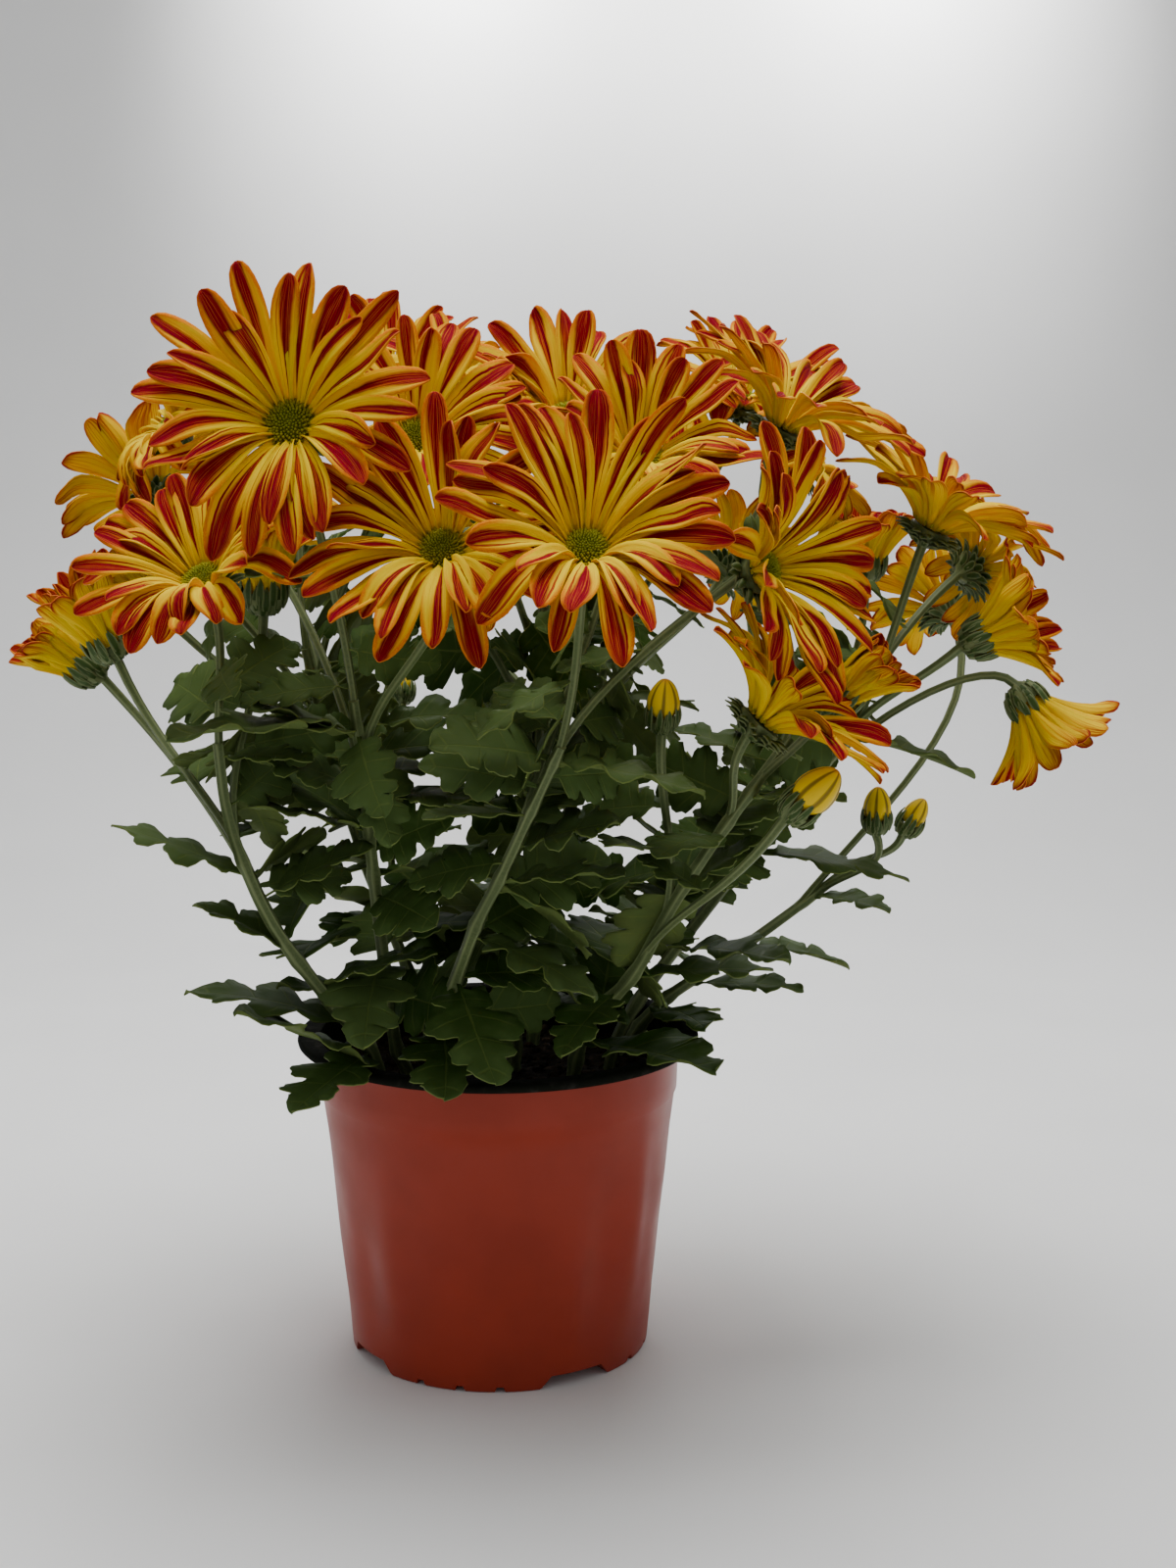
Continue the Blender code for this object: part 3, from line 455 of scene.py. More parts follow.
class Look:
    """A material, which is built up from a colour and a relief."""

    def __init__(self, name, roughness, gloss):
        self.material = bpy.data.materials.new(name)
        self.material.use_nodes = True
        self.tree = self.material.node_tree
        self.shader = self.tree.nodes["Principled BSDF"]
        self.fix("Roughness", roughness)
        self.fix("Specular IOR Level", gloss)

    def fix(self, name, value):
        self.shader.inputs[name].default_value = value

    def drive(self, name, value):
        self.tree.links.new(value.socket, self.shader.inputs[name])

    def node(self, kind, inputs=(), output=0, **settings):
        """Adds a node, sets or links its inputs and returns one of its outputs."""
        made = self.tree.nodes.new(kind)
        for key, value in settings.items():
            setattr(made, key, value)
        for key, value in dict(inputs).items():
            if isinstance(value, Value):
                self.tree.links.new(value.socket, made.inputs[key])
            else:
                made.inputs[key].default_value = value
        return Value(self, made.outputs[output])

    def mix(self, factor, a, b):
        """From colour a to colour b as the factor goes from nothing to one."""
        a, b = (part if isinstance(part, Value) else (*part, 1) for part in (a, b))
        return self.node("ShaderNodeMix", {0: factor, 6: a, 7: b}, 2, data_type="RGBA")

    def grain(self, vector, scale, detail=3.0, roughness=0.55):
        inputs = {"Vector": vector, "Scale": scale, "Detail": detail, "Roughness": roughness}
        return self.node("ShaderNodeTexNoise", inputs)

    def vector(self, x, y, z=0.0):
        return self.node("ShaderNodeCombineXYZ", {0: x, 1: y, 2: z})

    def parts(self, vector):
        """The first two parts of a vector."""
        made = self.node("ShaderNodeSeparateXYZ", {0: vector}).socket.node
        return Value(self, made.outputs[0]), Value(self, made.outputs[1])

    def uv(self, layer):
        return self.parts(self.node("ShaderNodeUVMap", uv_map=layer))

    def place(self):
        """Where the point is, in metres."""
        return self.node("ShaderNodeTexCoord", output=3)

    def finish(self, colour, relief=None, strength=0.0, depth=0.0):
        """Puts the colour and the relief on the surface and returns the material."""
        self.drive("Base Color", colour)
        if relief:
            inputs = {"Height": relief, "Strength": strength, "Distance": depth}
            self.drive("Normal", self.node("ShaderNodeBump", inputs))
        return self.material


def shade(colour, share):
    return tuple(share * part for part in colour)


def petal_look(name, roughness):
    """A petal lets light in. With it come its own coordinates, its two chances and its fine lines."""
    look = Look(name, roughness, 0.02)
    look.fix("Subsurface Weight", 0.45)
    look.fix("Subsurface Radius", (1.0, 0.7, 0.1))
    look.fix("Subsurface Scale", 1.2 * MM)
    across, along = look.uv("blade")
    first, second = look.uv("chance")
    streaks = look.grain(look.vector(across * 34.0, along * 1.6, first * 60.0), 1.0, 4.0)
    return look, across, along, first, second, streaks


def petal_top(petals):
    """A crimson band widens towards the tip, with a thinner one to each side and flushed margins."""
    look, across, along, first, second, streaks = petal_look("petal top", 0.66)
    across = across + (look.grain(look.vector(second * 40.0, along * 3.0), 1.0) - 0.5) * 0.16
    middle = first.ramp(0.0, 1.0, 0.40, 0.60)
    width = along.ramp(0.0, 0.55, 0.05, 0.25) + along.ramp(0.50, 0.85, 0.0, 0.15)
    width = width * second.ramp(0.0, 1.0, 0.75, 1.42) + along.ramp(0.80, 0.98, 0.0, 0.32)
    red = across.stripe(middle, width)
    side_width = along.ramp(0.10, 0.75, 0.010, 0.055)
    for offset, chance, low in ((-0.34, first, 0.55), (0.33, second, 0.45)):
        side = across.stripe(middle + offset, side_width)
        red = red.larger(side * chance.ramp(low, low + 0.2, 0.1, 1.0))
    red = red * along.ramp(0.03, 0.16)
    speckle = look.grain(look.vector(across * 70.0, along * 50.0, second * 30.0), 1.0, 2.0)
    margin = abs(across - 0.5).ramp(0.26, 0.47)
    flush = (along + margin * 0.34).ramp(0.60, 1.05) * speckle.ramp(0.30, 0.62, 0.6, 1.0)
    halo = across.stripe(middle, width * 1.7) * along.ramp(0.10, 0.60, 0.0, 0.6)
    flush = flush.larger(halo * streaks.ramp(0.35, 0.60, 0.3, 1.0))
    colour = look.mix(streaks.ramp(0.35, 0.75, 0.0, 0.35), petals.yellow, petals.gold)
    colour = look.mix(flush, colour, petals.orange)
    band = look.mix(streaks.ramp(0.34, 0.50), shade(petals.crimson, 0.45), petals.crimson)
    gaps = streaks.ramp(0.53, 0.63) * along.ramp(0.45, 1.0, 0.85, 0.40)
    band = look.mix(gaps, band, petals.orange)
    band = look.mix(margin * along.ramp(0.72, 0.95, 0.0, 0.5), band, petals.orange)
    return look.finish(look.mix(red, colour, band), streaks, 0.6, 0.4 * MM)


def petal_underside(petals):
    """Golden between orange ribs, with crimson at the tip."""
    look, across, along, first, second, streaks = petal_look("petal underside", 0.7)
    ribs = look.grain(look.vector(across * 11.0, along * 0.9, second * 60.0), 1.0, 3.0)
    lines = streaks.ramp(0.52, 0.66).larger(ribs.ramp(0.50, 0.62))
    colour = look.mix(lines * 0.38, petals.gold, petals.orange)
    reach = along + abs(across - 0.5).ramp(0.25, 0.50) * 0.25
    flush = reach.ramp(0.72, 1.15) * streaks.ramp(0.30, 0.60, 0.4, 1.0)
    colour = look.mix(flush, colour, petals.orange)
    tips = reach.ramp(0.72, 1.02) * first.ramp(0.1, 0.6, 0.25, 0.95)
    red = (lines * along.ramp(0.35, 0.90, 0.0, 0.8)).larger(tips)
    return look.finish(look.mix(red, colour, petals.crimson), ribs, 0.9, 0.6 * MM)


def petal_edge(petals):
    look = Look("petal edge", 0.5, 0.15)
    _, along = look.uv("blade")
    return look.finish(look.mix(along.ramp(0.3, 0.95), petals.yellow, petals.orange))


def disc_floret(petals):
    look = Look("disc floret", 0.6, 0.2)
    outward, own = look.uv("chance")
    colour = look.mix(outward.ramp(0.25, 1.0), petals.disc_green, petals.disc_yellow)
    colour = look.mix(own.ramp(0.0, 1.0, 0.0, 0.5), colour, petals.disc_green)
    return look.finish(colour, look.grain(look.place(), 2600.0), 0.3, 0.2 * MM)


def bud_petal(petals):
    look = Look("bud petal", 0.5, 0.2)
    across, along = look.uv("blade")
    groove = (across * (2 * math.pi * BUD_RIDGES)).math("COSINE").ramp(-1.0, -0.35, 1.0, 0.0)
    streaks = look.grain(look.vector(across * 160.0, along * 3.0), 1.0, 3.0)
    colour = look.mix(streaks.ramp(0.4, 0.7, 0.0, 0.5), petals.yellow, petals.gold)
    colour = look.mix(groove * 0.85, colour, BUD_GROOVE)
    colour = look.mix(along.ramp(0.80, 1.0, 0.0, 0.6), colour, petals.orange)
    return look.finish(colour, streaks, 0.4, 0.3 * MM)


def stem_skin(stems):
    look = Look("stem skin", 0.55, 0.2)
    _, around = look.uv("UVMap")
    rib = (around * (2 * math.pi * stems.ribs)).math("COSINE").ramp(-0.4, 1.0)
    fibres = look.grain(look.place(), 900.0, 3.0)
    patches = look.grain(look.place(), 45.0, 2.0)
    colour = look.mix(rib, stems.skin, stems.ridge)
    colour = look.mix(fibres.ramp(0.35, 0.75, 0.0, 0.35), colour, stems.ridge)
    colour = look.mix(patches.ramp(0.5, 0.75, 0.0, 0.45), colour, stems.skin)
    return look.finish(colour, fibres, 0.35, 0.2 * MM)


def bract_green(stems):
    look = Look("bract green", 0.55, 0.2)
    across, along = look.uv("blade")
    colour = look.mix(abs(across - 0.5).ramp(0.22, 0.5), stems.bract, stems.ridge)
    colour = look.mix(along.ramp(0.75, 1.0, 0.0, 0.5), colour, stems.ridge)
    return look.finish(colour, look.grain(look.place(), 1500.0), 0.3, 0.2 * MM)


def leaf_look(name, roughness, gloss):
    """With a leaf's material come how far into a vein a point is, the leaf's chance and a mottle."""
    look = Look(name, roughness, gloss)
    across, along = look.uv("blade")
    chance, _ = look.uv("chance")
    from_rib = abs(across - 0.5)
    from_vein = abs(((along - FIRST_SIDE_VEIN) * (1 / SIDE_VEIN_STEP)).math("FRACT") - 0.5)
    vein = from_vein.ramp(0.012, 0.040, 1.0, 0.0) * from_rib.ramp(0.30, 0.48, 1.0, 0.0)
    vein = vein * along.ramp(0.16, 0.22)
    veins = from_rib.ramp(0.008, 0.028, 1.0, 0.0).larger(vein * 0.75)
    return look, veins, chance, look.grain(look.place(), 120.0, 4.0)


def leaf_top(leaves):
    """Painted light: the leaves that reach out of the plant are painted lighter than those inside it."""
    look, veins, chance, mottle = leaf_look("leaf top", 0.62, 0.08)
    flat = look.vector(*look.parts(look.place()))
    from_axis = look.node("ShaderNodeVectorMath", {0: flat}, 1, operation="LENGTH")
    # Painted light: the farther a leaf is from the pot's axis, the more of the lighter green it takes,
    # as if the outer leaves were lit more from the sides. The leaf's chance adds its own lighter tone.
    tone_and_painted_light = chance.ramp(0.45, 1.0).larger(from_axis.ramp(50 * MM, 125 * MM, 0.0, 0.95))
    colour = look.mix(tone_and_painted_light, leaves.top, leaves.young_and_lit)
    colour = look.mix(mottle.ramp(0.40, 0.70, 0.0, 0.35), colour, leaves.young_and_lit)
    colour = look.mix(veins * 0.42, colour, leaves.vein)
    return look.finish(colour, mottle * 0.5 - veins, 0.5, 0.4 * MM)


def leaf_underside(leaves):
    look, veins, _, mottle = leaf_look("leaf underside", 0.75, 0.05)
    colour = look.mix(mottle.ramp(0.35, 0.70, 0.0, 0.5), leaves.underside, leaves.young_and_lit)
    colour = look.mix(veins * 0.7, colour, leaves.vein)
    return look.finish(colour, mottle * 0.5 + veins, 0.5, 0.4 * MM)


def leaf_edge(leaves):
    look = Look("leaf edge", 0.55, 0.12)
    fine = look.grain(look.place(), 400.0)
    return look.finish(look.mix(fine.ramp(0.35, 0.65), leaves.underside, leaves.vein))


def pot_outside(pot):
    look = Look("terracotta plastic", 0.36, 0.2)
    cloud = look.grain(look.place(), 28.0, 3.0)
    look.drive("Roughness", cloud.ramp(0.30, 0.75, 0.30, 0.46))
    colour = look.mix(cloud.ramp(0.35, 0.70, 0.0, 0.5), pot.outside, shade(pot.outside, 0.72))
    return look.finish(colour, look.grain(look.place(), 900.0, 2.0), 0.06, 0.1 * MM)


def pot_inside(pot):
    look = Look("black plastic", 0.75, 0.01)
    dust = look.grain(look.place(), 160.0, 4.0)
    colour = look.mix(dust.ramp(0.50, 0.80, 0.0, 0.6), pot.inside, pot.dust)
    return look.finish(colour, dust, 0.1, 0.2 * MM)


def peat(soil):
    look = Look("peat", 0.92, 0.1)
    clods = look.grain(look.place(), 240.0, 6.0, 0.7)
    colour = look.mix(clods.ramp(0.42, 0.72), soil.dark, soil.light)
    return look.finish(colour, clods, 0.9, 1.2 * MM)


def peat_crumb(soil):
    look = Look("peat crumb", 0.95, 0.1)
    chance, _ = look.uv("chance")
    fibres = look.grain(look.place(), 700.0, 4.0)
    colour = look.mix(chance.ramp(0.4, 1.0), soil.dark, soil.light)
    colour = look.mix(fibres.ramp(0.45, 0.75, 0.0, 0.5), colour, soil.light)
    return look.finish(colour, fibres, 0.6, 0.4 * MM)


def backdrop_paper(stage):
    look = Look("backdrop paper", 0.85, 0.1)
    fine = look.grain(look.place(), 6.0, 2.0)
    return look.finish(look.mix(fine.ramp(0.3, 0.7), stage.backdrop, shade(stage.backdrop, 0.96)))


# Pot

ARCH_ANGLES = (32, 122, 212, 302)
ARCH_SIZE = (21 * MM, 18 * MM, 5 * MM, 5 * MM)
NOTCH_ANGLES = (-29, -13, 2, 61, 77)
NOTCH_SIZE = (2.5 * MM, 18 * MM, 2.2 * MM, 1.2 * MM)
DRAIN_COUNT = 4
DRAIN_RADIUS = 4 * MM
DRAIN_RING = 33 * MM
DRAIN_STEPS = 32
FLOOR_UNDERSIDE = 6 * MM
FLOOR_TOP = 7.5 * MM
FLOOR_RADIUS = 30 * MM
WALL_RINGS = 14
LIP_PARTS = 6
POT_CREASE = 38

# Dents and folds: the push outwards, the azimuth and its spread, the height and its spread.
DENTS = (
    (-0.9, 40, 7, 48, 30), (0.6, 55, 5, 60, 35), (0.4, 29, 4, 34, 26),
    (-0.8, -52, 8, 36, 24), (0.4, -38, 6, 46, 30), (-0.5, 8, 16, 24, 16),
)


def wall_radius(pot, height):
    """The outer radius of the wall, which steps in a little below the lip."""
    if height > pot.step_height:
        share = (height - pot.step_height) / (pot.height - pot.step_height)
        return pot.neck_radius - pot.step_depth * (1 - share)
    share = height / pot.step_height
    return pot.foot_radius + (pot.neck_radius - 2 * pot.step_depth - pot.foot_radius) * share


def pot_profile(pot):
    """From the middle of the floor inside, up over the lip and down to the middle underneath."""
    under_lip = pot.height - pot.lip_height
    lip = pot.lip_height / 2
    mouth = wall_radius(pot, pot.height) - pot.wall
    wall = wall_radius(pot, under_lip)
    step = pot.step_height
    foot = pot.foot_radius
    inside = [FLOOR_TOP + (under_lip - FLOOR_TOP) * k / WALL_RINGS for k in range(WALL_RINGS + 1)]
    outside = [step + 12 * MM, step + 6 * MM, step + 0.6 * MM, step - 0.6 * MM]
    outside += [step * k / WALL_RINGS for k in range(WALL_RINGS - 1, 0, -1)] + [MM]
    points = [(0, FLOOR_TOP), (FLOOR_RADIUS, FLOOR_TOP)]
    points += [(wall_radius(pot, z) - pot.wall, z) for z in inside]
    points += [(mouth + 0.3 * MM, pot.height - 0.5 * MM), (mouth + 1.2 * MM, pot.height)]
    for k in range(LIP_PARTS + 1):
        angle = math.pi * (0.5 - k / LIP_PARTS)
        radius = pot.rim_radius - lip + lip * math.cos(angle)
        points.append((radius, pot.height - lip + lip * math.sin(angle)))
    points += [(wall + MM, under_lip), (wall + 0.2 * MM, under_lip - 0.3 * MM), (wall, under_lip - MM)]
    points += [(wall_radius(pot, z), z) for z in outside]
    points += [(foot - 0.3 * MM, 0.25 * MM), (foot - 0.9 * MM, 0)]
    points += [(foot - pot.foot_width, 0), (foot - pot.foot_width, FLOOR_UNDERSIDE)]
    return points + [(pot.pad_radius, FLOOR_UNDERSIDE), (pot.pad_radius, 0), (0, 0)]


def cut_away(obj, cutter):
    boolean = obj.modifiers.new("Cut", "BOOLEAN")
    boolean.object = cutter
    boolean.operation = "DIFFERENCE"
    apply_modifiers(obj)
    discard(cutter)


def cut_boxes(obj, angles, size, radius):
    """Cuts boxes across the foot ring, up to their height, whose ends spread to the ground."""
    width, depth, height, spread = size
    below = 1 * MM
    for angle in angles:
        turn = math.radians(angle)
        cutter = added(
            bpy.ops.mesh.primitive_cube_add, size=1, scale=(width, depth, height + below),
            location=(radius * math.sin(turn), -radius * math.cos(turn), (height - below) / 2),
            rotation=(0, 0, turn),
        )
        for vertex in cutter.data.vertices:
            if vertex.co.z < 0:
                vertex.co.x *= 1 + 2 * spread / width
        cut_away(obj, cutter)


def is_black(pot, centre):
    """Whether a face with this centre is on the lip or inside the pot."""
    radius = math.hypot(centre.x, centre.y)
    outer = wall_radius(pot, centre.z)
    on_lip = centre.z > pot.height - pot.lip_height - 0.2 * MM and radius > outer + 0.1 * MM
    inside = centre.z > FLOOR_TOP - 0.1 * MM and radius < outer - pot.wall / 2
    return on_lip or inside or centre.z > pot.height - 0.4 * MM


def dent(co, depth):
    """Moves a point of the wall in or out, by soft folds and a little out-of-roundness."""
    radius = math.hypot(co.x, co.y)
    azimuth = math.degrees(math.atan2(co.x, -co.y))
    height = smooth_step(co.z / (25 * MM)) * smooth_step((112 * MM - co.z) / (30 * MM))
    push = 0.30 * math.sin(math.radians(2 * azimuth + 40))
    for size, at, spread, level, reach in DENTS:
        push += size * pulse(azimuth, at, spread) * pulse(co.z, level * MM, reach * MM)
    push += 0.25 * noise.noise(Vector((azimuth / 22, co.z / (30 * MM), 3.0)))
    share = (radius + push * depth * height) / radius
    return Vector((co.x * share, co.y * share, co.z))


class PLANT_OT_pot(bpy.types.Operator):
    """Model the thin plastic pot"""

    bl_idname = "plant.pot"
    bl_label = "Pot"

    def execute(self, context):
        pot = context.scene.plant_pot
        obj = turned("plastic_pot", pot_profile(pot), pot.steps)
        middle = pot.foot_radius - pot.foot_width / 2
        cut_boxes(obj, ARCH_ANGLES, ARCH_SIZE, middle)
        cut_boxes(obj, NOTCH_ANGLES, NOTCH_SIZE, middle)
        for index in range(DRAIN_COUNT):
            angle = 2 * math.pi * index / DRAIN_COUNT + math.pi / 4
            cut_away(obj, added(
                bpy.ops.mesh.primitive_cylinder_add, vertices=DRAIN_STEPS, radius=DRAIN_RADIUS,
                location=(DRAIN_RING * math.cos(angle), DRAIN_RING * math.sin(angle), 0),
                depth=4 * FLOOR_TOP,
            ))
        obj.data.materials.clear()
        obj.data.materials.append(pot_outside(pot))
        obj.data.materials.append(pot_inside(pot))
        for face in obj.data.polygons:
            face.material_index = int(is_black(pot, face.center))
        for vertex in obj.data.vertices:
            if math.hypot(vertex.co.x, vertex.co.y) > 0.8 * pot.foot_radius:
                vertex.co = dent(vertex.co, pot.dent)
        smooth_below(obj, POT_CREASE)
        settle(obj, "pot", "pot")
        return {"FINISHED"}


# Soil

SOIL_RINGS = 26
SOIL_STEPS = 120
SOIL_CREASE = 60
CRUMB_MARGIN = 2.5 * MM
CRUMB_SIZES = (0.6, 0.8, 1.0, 1.4, 2.2)


def soil_height(soil, x, y):
    point = Vector((x, y, soil.level))
    fine = noise.noise(point / (9 * MM)) + 0.5 * noise.noise(point / (3.5 * MM))
    return soil.level + soil.relief * fine


class PLANT_OT_soil(bpy.types.Operator):
    """Fill the pot with peat and scatter crumbs over it"""

    bl_idname = "plant.soil"
    bl_label = "Soil"

    def execute(self, context):
        pot = context.scene.plant_pot
        soil = context.scene.plant_soil
        foot = wall_radius(pot, FLOOR_TOP + GAP) - pot.wall - pot.dent - GAP
        step = wall_radius(pot, pot.step_height) - pot.wall - GAP
        profile = [(step * k / SOIL_RINGS, soil.level) for k in range(SOIL_RINGS + 1)]
        profile += [(step, soil.level - 3 * MM), (step, pot.step_height)]
        profile += [(foot, FLOOR_TOP + GAP), (0, FLOOR_TOP + GAP)]
        obj = turned("peat", profile, SOIL_STEPS)
        for vertex in obj.data.vertices:
            if vertex.co.z > soil.level - 0.5 * MM:
                vertex.co.z = soil_height(soil, vertex.co.x, vertex.co.y)
        obj.data.materials.append(peat(soil))
        smooth_below(obj, SOIL_CREASE)
        settle(obj, "soil", "soil")
        self.scatter(soil, step)
        return {"FINISHED"}

    def scatter(self, soil, radius):
        rng = random.Random("crumbs")
        blank = ball_blank()
        work = bmesh.new()
        for _ in range(soil.crumbs):
            angle = rng.uniform(0, 2 * math.pi)
            out = (radius - CRUMB_MARGIN) * math.sqrt(rng.random())
            x, y = out * math.cos(angle), out * math.sin(angle)
            size = rng.choice(CRUMB_SIZES) * MM
            spin = rng.uniform(0, 6)
            turn = Matrix.Rotation(spin, 3, Vector((rng.random(), rng.random(), 0.3)).normalized())
            stretch = Vector((size * rng.uniform(0.8, 1.8), size * rng.uniform(0.6, 1.1), size * 0.6))
            centre = Vector((x, y, soil_height(soil, x, y) + 0.2 * size))

            def place(co):
                return centre + turn @ (co * stretch)

            put_copy(work, blank, place, (rng.random(), rng.random()))
        discard(blank)
        settle(piece_from(work, "peat_crumbs", [peat_crumb(soil)]), "soil")


# Canes, flower stems and cups

CANE_STEPS = 8
STEM_SPANS = 14
STEM_CREASE = 50
BRACT_COLUMNS = 2
BRACT_ROWS = 4
BRACT_THICKNESS = 0.35 * MM

# A cane swells by this share, over this share of its length, where a leaf leaves it.
JOINT_SWELL = 0.28
JOINT_LENGTH = 0.016

# How far to one side a flower stem may be bent, in this many directions.
STEM_BENDS = (6, 12, 18, 26)
BEND_DIRECTIONS = 6

# Rows of bracts: distance behind the head, radius there, count, length and lift at both ends.
OPEN_BRACTS = ((-6.0, 4.0, 10, 6.5, 62, 18), (-3.6, 6.2, 12, 6.5, 50, 6), (-1.8, 7.0, 12, 6.0, 40, 2))
SHUT_BRACTS = ((-6.0, 4.0, 9, 7.5, 60, 78), (-3.8, 6.1, 11, 8.5, 70, 86), (-1.8, 7.0, 11, 9.5, 80, 90))


def point_along(path, share):
    """The point and the direction at a share of the path's length."""
    lengths = [(b - a).length for a, b in zip(path, path[1:])]
    rest = share * sum(lengths)
    for (a, b), span in zip(zip(path, path[1:]), lengths):
        if rest <= span:
            break
        rest -= span
    direction = (b - a).normalized()
    return a + direction * min(rest, span), direction


def bezier(a, b, c, d, count):
    path = []
    for index in range(count + 1):
        t = index / count
        s = 1 - t
        path.append(a * s ** 3 + 3 * b * s ** 2 * t + 3 * c * s * t ** 2 + d * t ** 3)
    return path


def smoothed(points, steps):
    """A smooth curve through the points."""
    path = []
    ends = [2 * points[0] - points[1]] + list(points) + [2 * points[-1] - points[-2]]
    for a, b, c, d in zip(ends, ends[1:], ends[2:], ends[3:]):
        for k in range(steps):
            t = k / steps
            path.append(0.5 * (
                2 * b + (c - a) * t + (2 * a - 5 * b + 4 * c - d) * t ** 2
                + (3 * b - a - 3 * c + d) * t ** 3
            ))
    return path + [points[-1].copy()]


def facing(azimuth, elevation):
    a = math.radians(azimuth)
    e = math.radians(elevation)
    return Vector((math.sin(a) * math.cos(e), -math.cos(a) * math.cos(e), math.sin(e)))


def cane_path(cane):
    return [Vector(point) * MM for point in CANES[cane]]


def heads_on(cane):
    return [name for name, head in HEADS.items() if head.cane == cane]


def head_matrix(name):
    """Local Z is the way the head faces and local X is level."""
    head = HEADS[name]
    z = facing(head.azimuth, head.elevation)
    x = polar(math.radians(head.azimuth))
    matrix = Matrix((x, z.cross(x), z)).transposed().to_4x4()
    matrix.translation = Vector(head.place) * MM
    return matrix


def cup_scale(name):
    head = HEADS[name]
    return 0.42 + 0.022 * head.size if head.form == "bud" else 1.0


def node_points(name):
    """A search tree of the solid node's points."""
    points = [vertex.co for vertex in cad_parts[name].data.vertices]
    tree = KDTree(len(points))
    for index, co in enumerate(points):
        tree.insert(co, index)
    tree.balance()
    return tree


def pedicel_ends(name):
    """The four points that steer a head's stem: out of the cane, and into its cup."""
    head = HEADS[name]
    matrix = head_matrix(name)
    start, direction = point_along(cane_path(head.cane), head.share)
    axis = matrix.to_3x3() @ UP
    end = matrix @ Vector((0, 0, CUP_STATIONS[0][0] * MM * cup_scale(name)))
    reach = (end - start).length
    leave = start + (direction + UP * 0.4).normalized() * reach * 0.35
    arrive = end - axis * reach * 0.28 - UP * reach * 0.10
    return start, leave, arrive, end


def pedicel_path(name, points, spans):
    """The head's stem, bent to the side to which the solid's stem is bent."""
    rng = random.Random(name)
    turn = rng.uniform(0, 2 * math.pi)
    bends = [Vector((0, 0, 0))]
    for size in STEM_BENDS:
        for k in range(BEND_DIRECTIONS):
            bends.append(polar(turn + k * math.pi / 3) * size * MM)
    start, leave, arrive, end = pedicel_ends(name)

    def miss(bend):
        coarse = bezier(start, leave + bend, arrive + bend, end, PEDICEL_SPANS)
        return sum(abs(points.find(point)[2] - PEDICEL_RADIUS) for point in coarse[1:-1])

    bend = min(bends, key=miss)
    return bezier(start, leave + bend, arrive + bend, end, spans)


def rib_outline(stems):
    """The ribbed cross-section of a stem, one unit in radius."""
    outline = bpy.data.curves.new("stem outline", "CURVE")
    spline = outline.splines.new("POLY")
    count = 4 * stems.ribs
    spline.points.add(count - 1)
    for k, point in enumerate(spline.points):
        angle = 2 * math.pi * k / count
        radius = 1 + stems.rib_depth * math.cos(stems.ribs * angle)
        point.co = (radius * math.cos(angle), radius * math.sin(angle), 0, 1)
    spline.use_cyclic_u = True
    return new_object("stem outline", outline)


def add_stem(curve, path, radii):
    spline = curve.splines.new("POLY")
    spline.points.add(len(path) - 1)
    for point, place, radius in zip(spline.points, path, radii):
        point.co = (*place, 1)
        point.radius = radius


def add_cane(curve, cane):
    """The cane tapers, and swells a little where each leaf leaves it."""
    path = smoothed(cane_path(cane), CANE_STEPS)
    radii = []
    for k in range(len(path)):
        share = k / (len(path) - 1)
        swell = sum(pulse(share, leaf.share, JOINT_LENGTH) for _, leaf in leaves_on(cane))
        radius = CANE_RADIUS + (CANE_TIP_RADIUS - CANE_RADIUS) * share
        radii.append(radius * (1 + JOINT_SWELL * min(swell, 1)))
    add_stem(curve, path, radii)


def add_pedicel(curve, name, solid):
    """The stem of a head widens towards its cup and runs on up the middle of it."""
    matrix = head_matrix(name)
    scale = cup_scale(name)
    path = pedicel_path(name, solid, STEM_SPANS)
    path += [matrix @ Vector((0, 0, z * MM * scale)) for z, _ in CUP_STATIONS[1:]]
    radii = [PEDICEL_RADIUS * (1 + 0.25 * (k / STEM_SPANS) ** 4) for k in range(STEM_SPANS + 1)]
    add_stem(curve, path, radii + [r * MM * scale for _, r in CUP_STATIONS[1:]])


def put_bracts(work, blank, name):
    matrix = head_matrix(name)
    scale = cup_scale(name) * MM
    turn = matrix.to_3x3()
    axis = turn @ UP
    rng = random.Random(name + " bracts")
    rows = OPEN_BRACTS if HEADS[name].form in WIDE_FORMS else SHUT_BRACTS
    for back, radius, count, size, lift, end_lift in rows:
        start = rng.uniform(0, 2 * math.pi)
        for k in range(count):
            phi = start + 2 * math.pi * (k + rng.uniform(-0.15, 0.15)) / count
            out = turn @ polar(phi)
            side = out.cross(axis)
            root = matrix @ Vector((0, 0, back * scale)) + out * radius * scale
            reach = size * scale * rng.uniform(0.85, 1.1)

            def place(co):
                share = (co.y + 1) / 2
                angle = math.radians(lift + (end_lift - lift) * share)
                ahead = out * math.cos(angle) + axis * math.sin(angle)
                half = 1.5 * scale * math.sin(math.pi * (0.18 + 0.80 * share)) ** 0.8
                lower = ahead.cross(side).normalized() * half * 0.45 * co.x ** 2
                return root + ahead * reach * share + side * co.x * half + lower + out * 0.35 * scale

            put_copy(work, blank, place, (rng.random(), rng.random()))


def mesh_of(curve):
    select_only(new_object(curve.name, curve))
    bpy.ops.object.convert(target="MESH")
    stem = bpy.context.object
    select_only(stem)
    bpy.ops.object.mode_set(mode="EDIT")
    bpy.ops.mesh.select_all(action="SELECT")
    bpy.ops.mesh.remove_doubles(threshold=0.01 * MM)
    bpy.ops.object.mode_set(mode="OBJECT")
    smooth_below(stem, STEM_CREASE)
    return stem


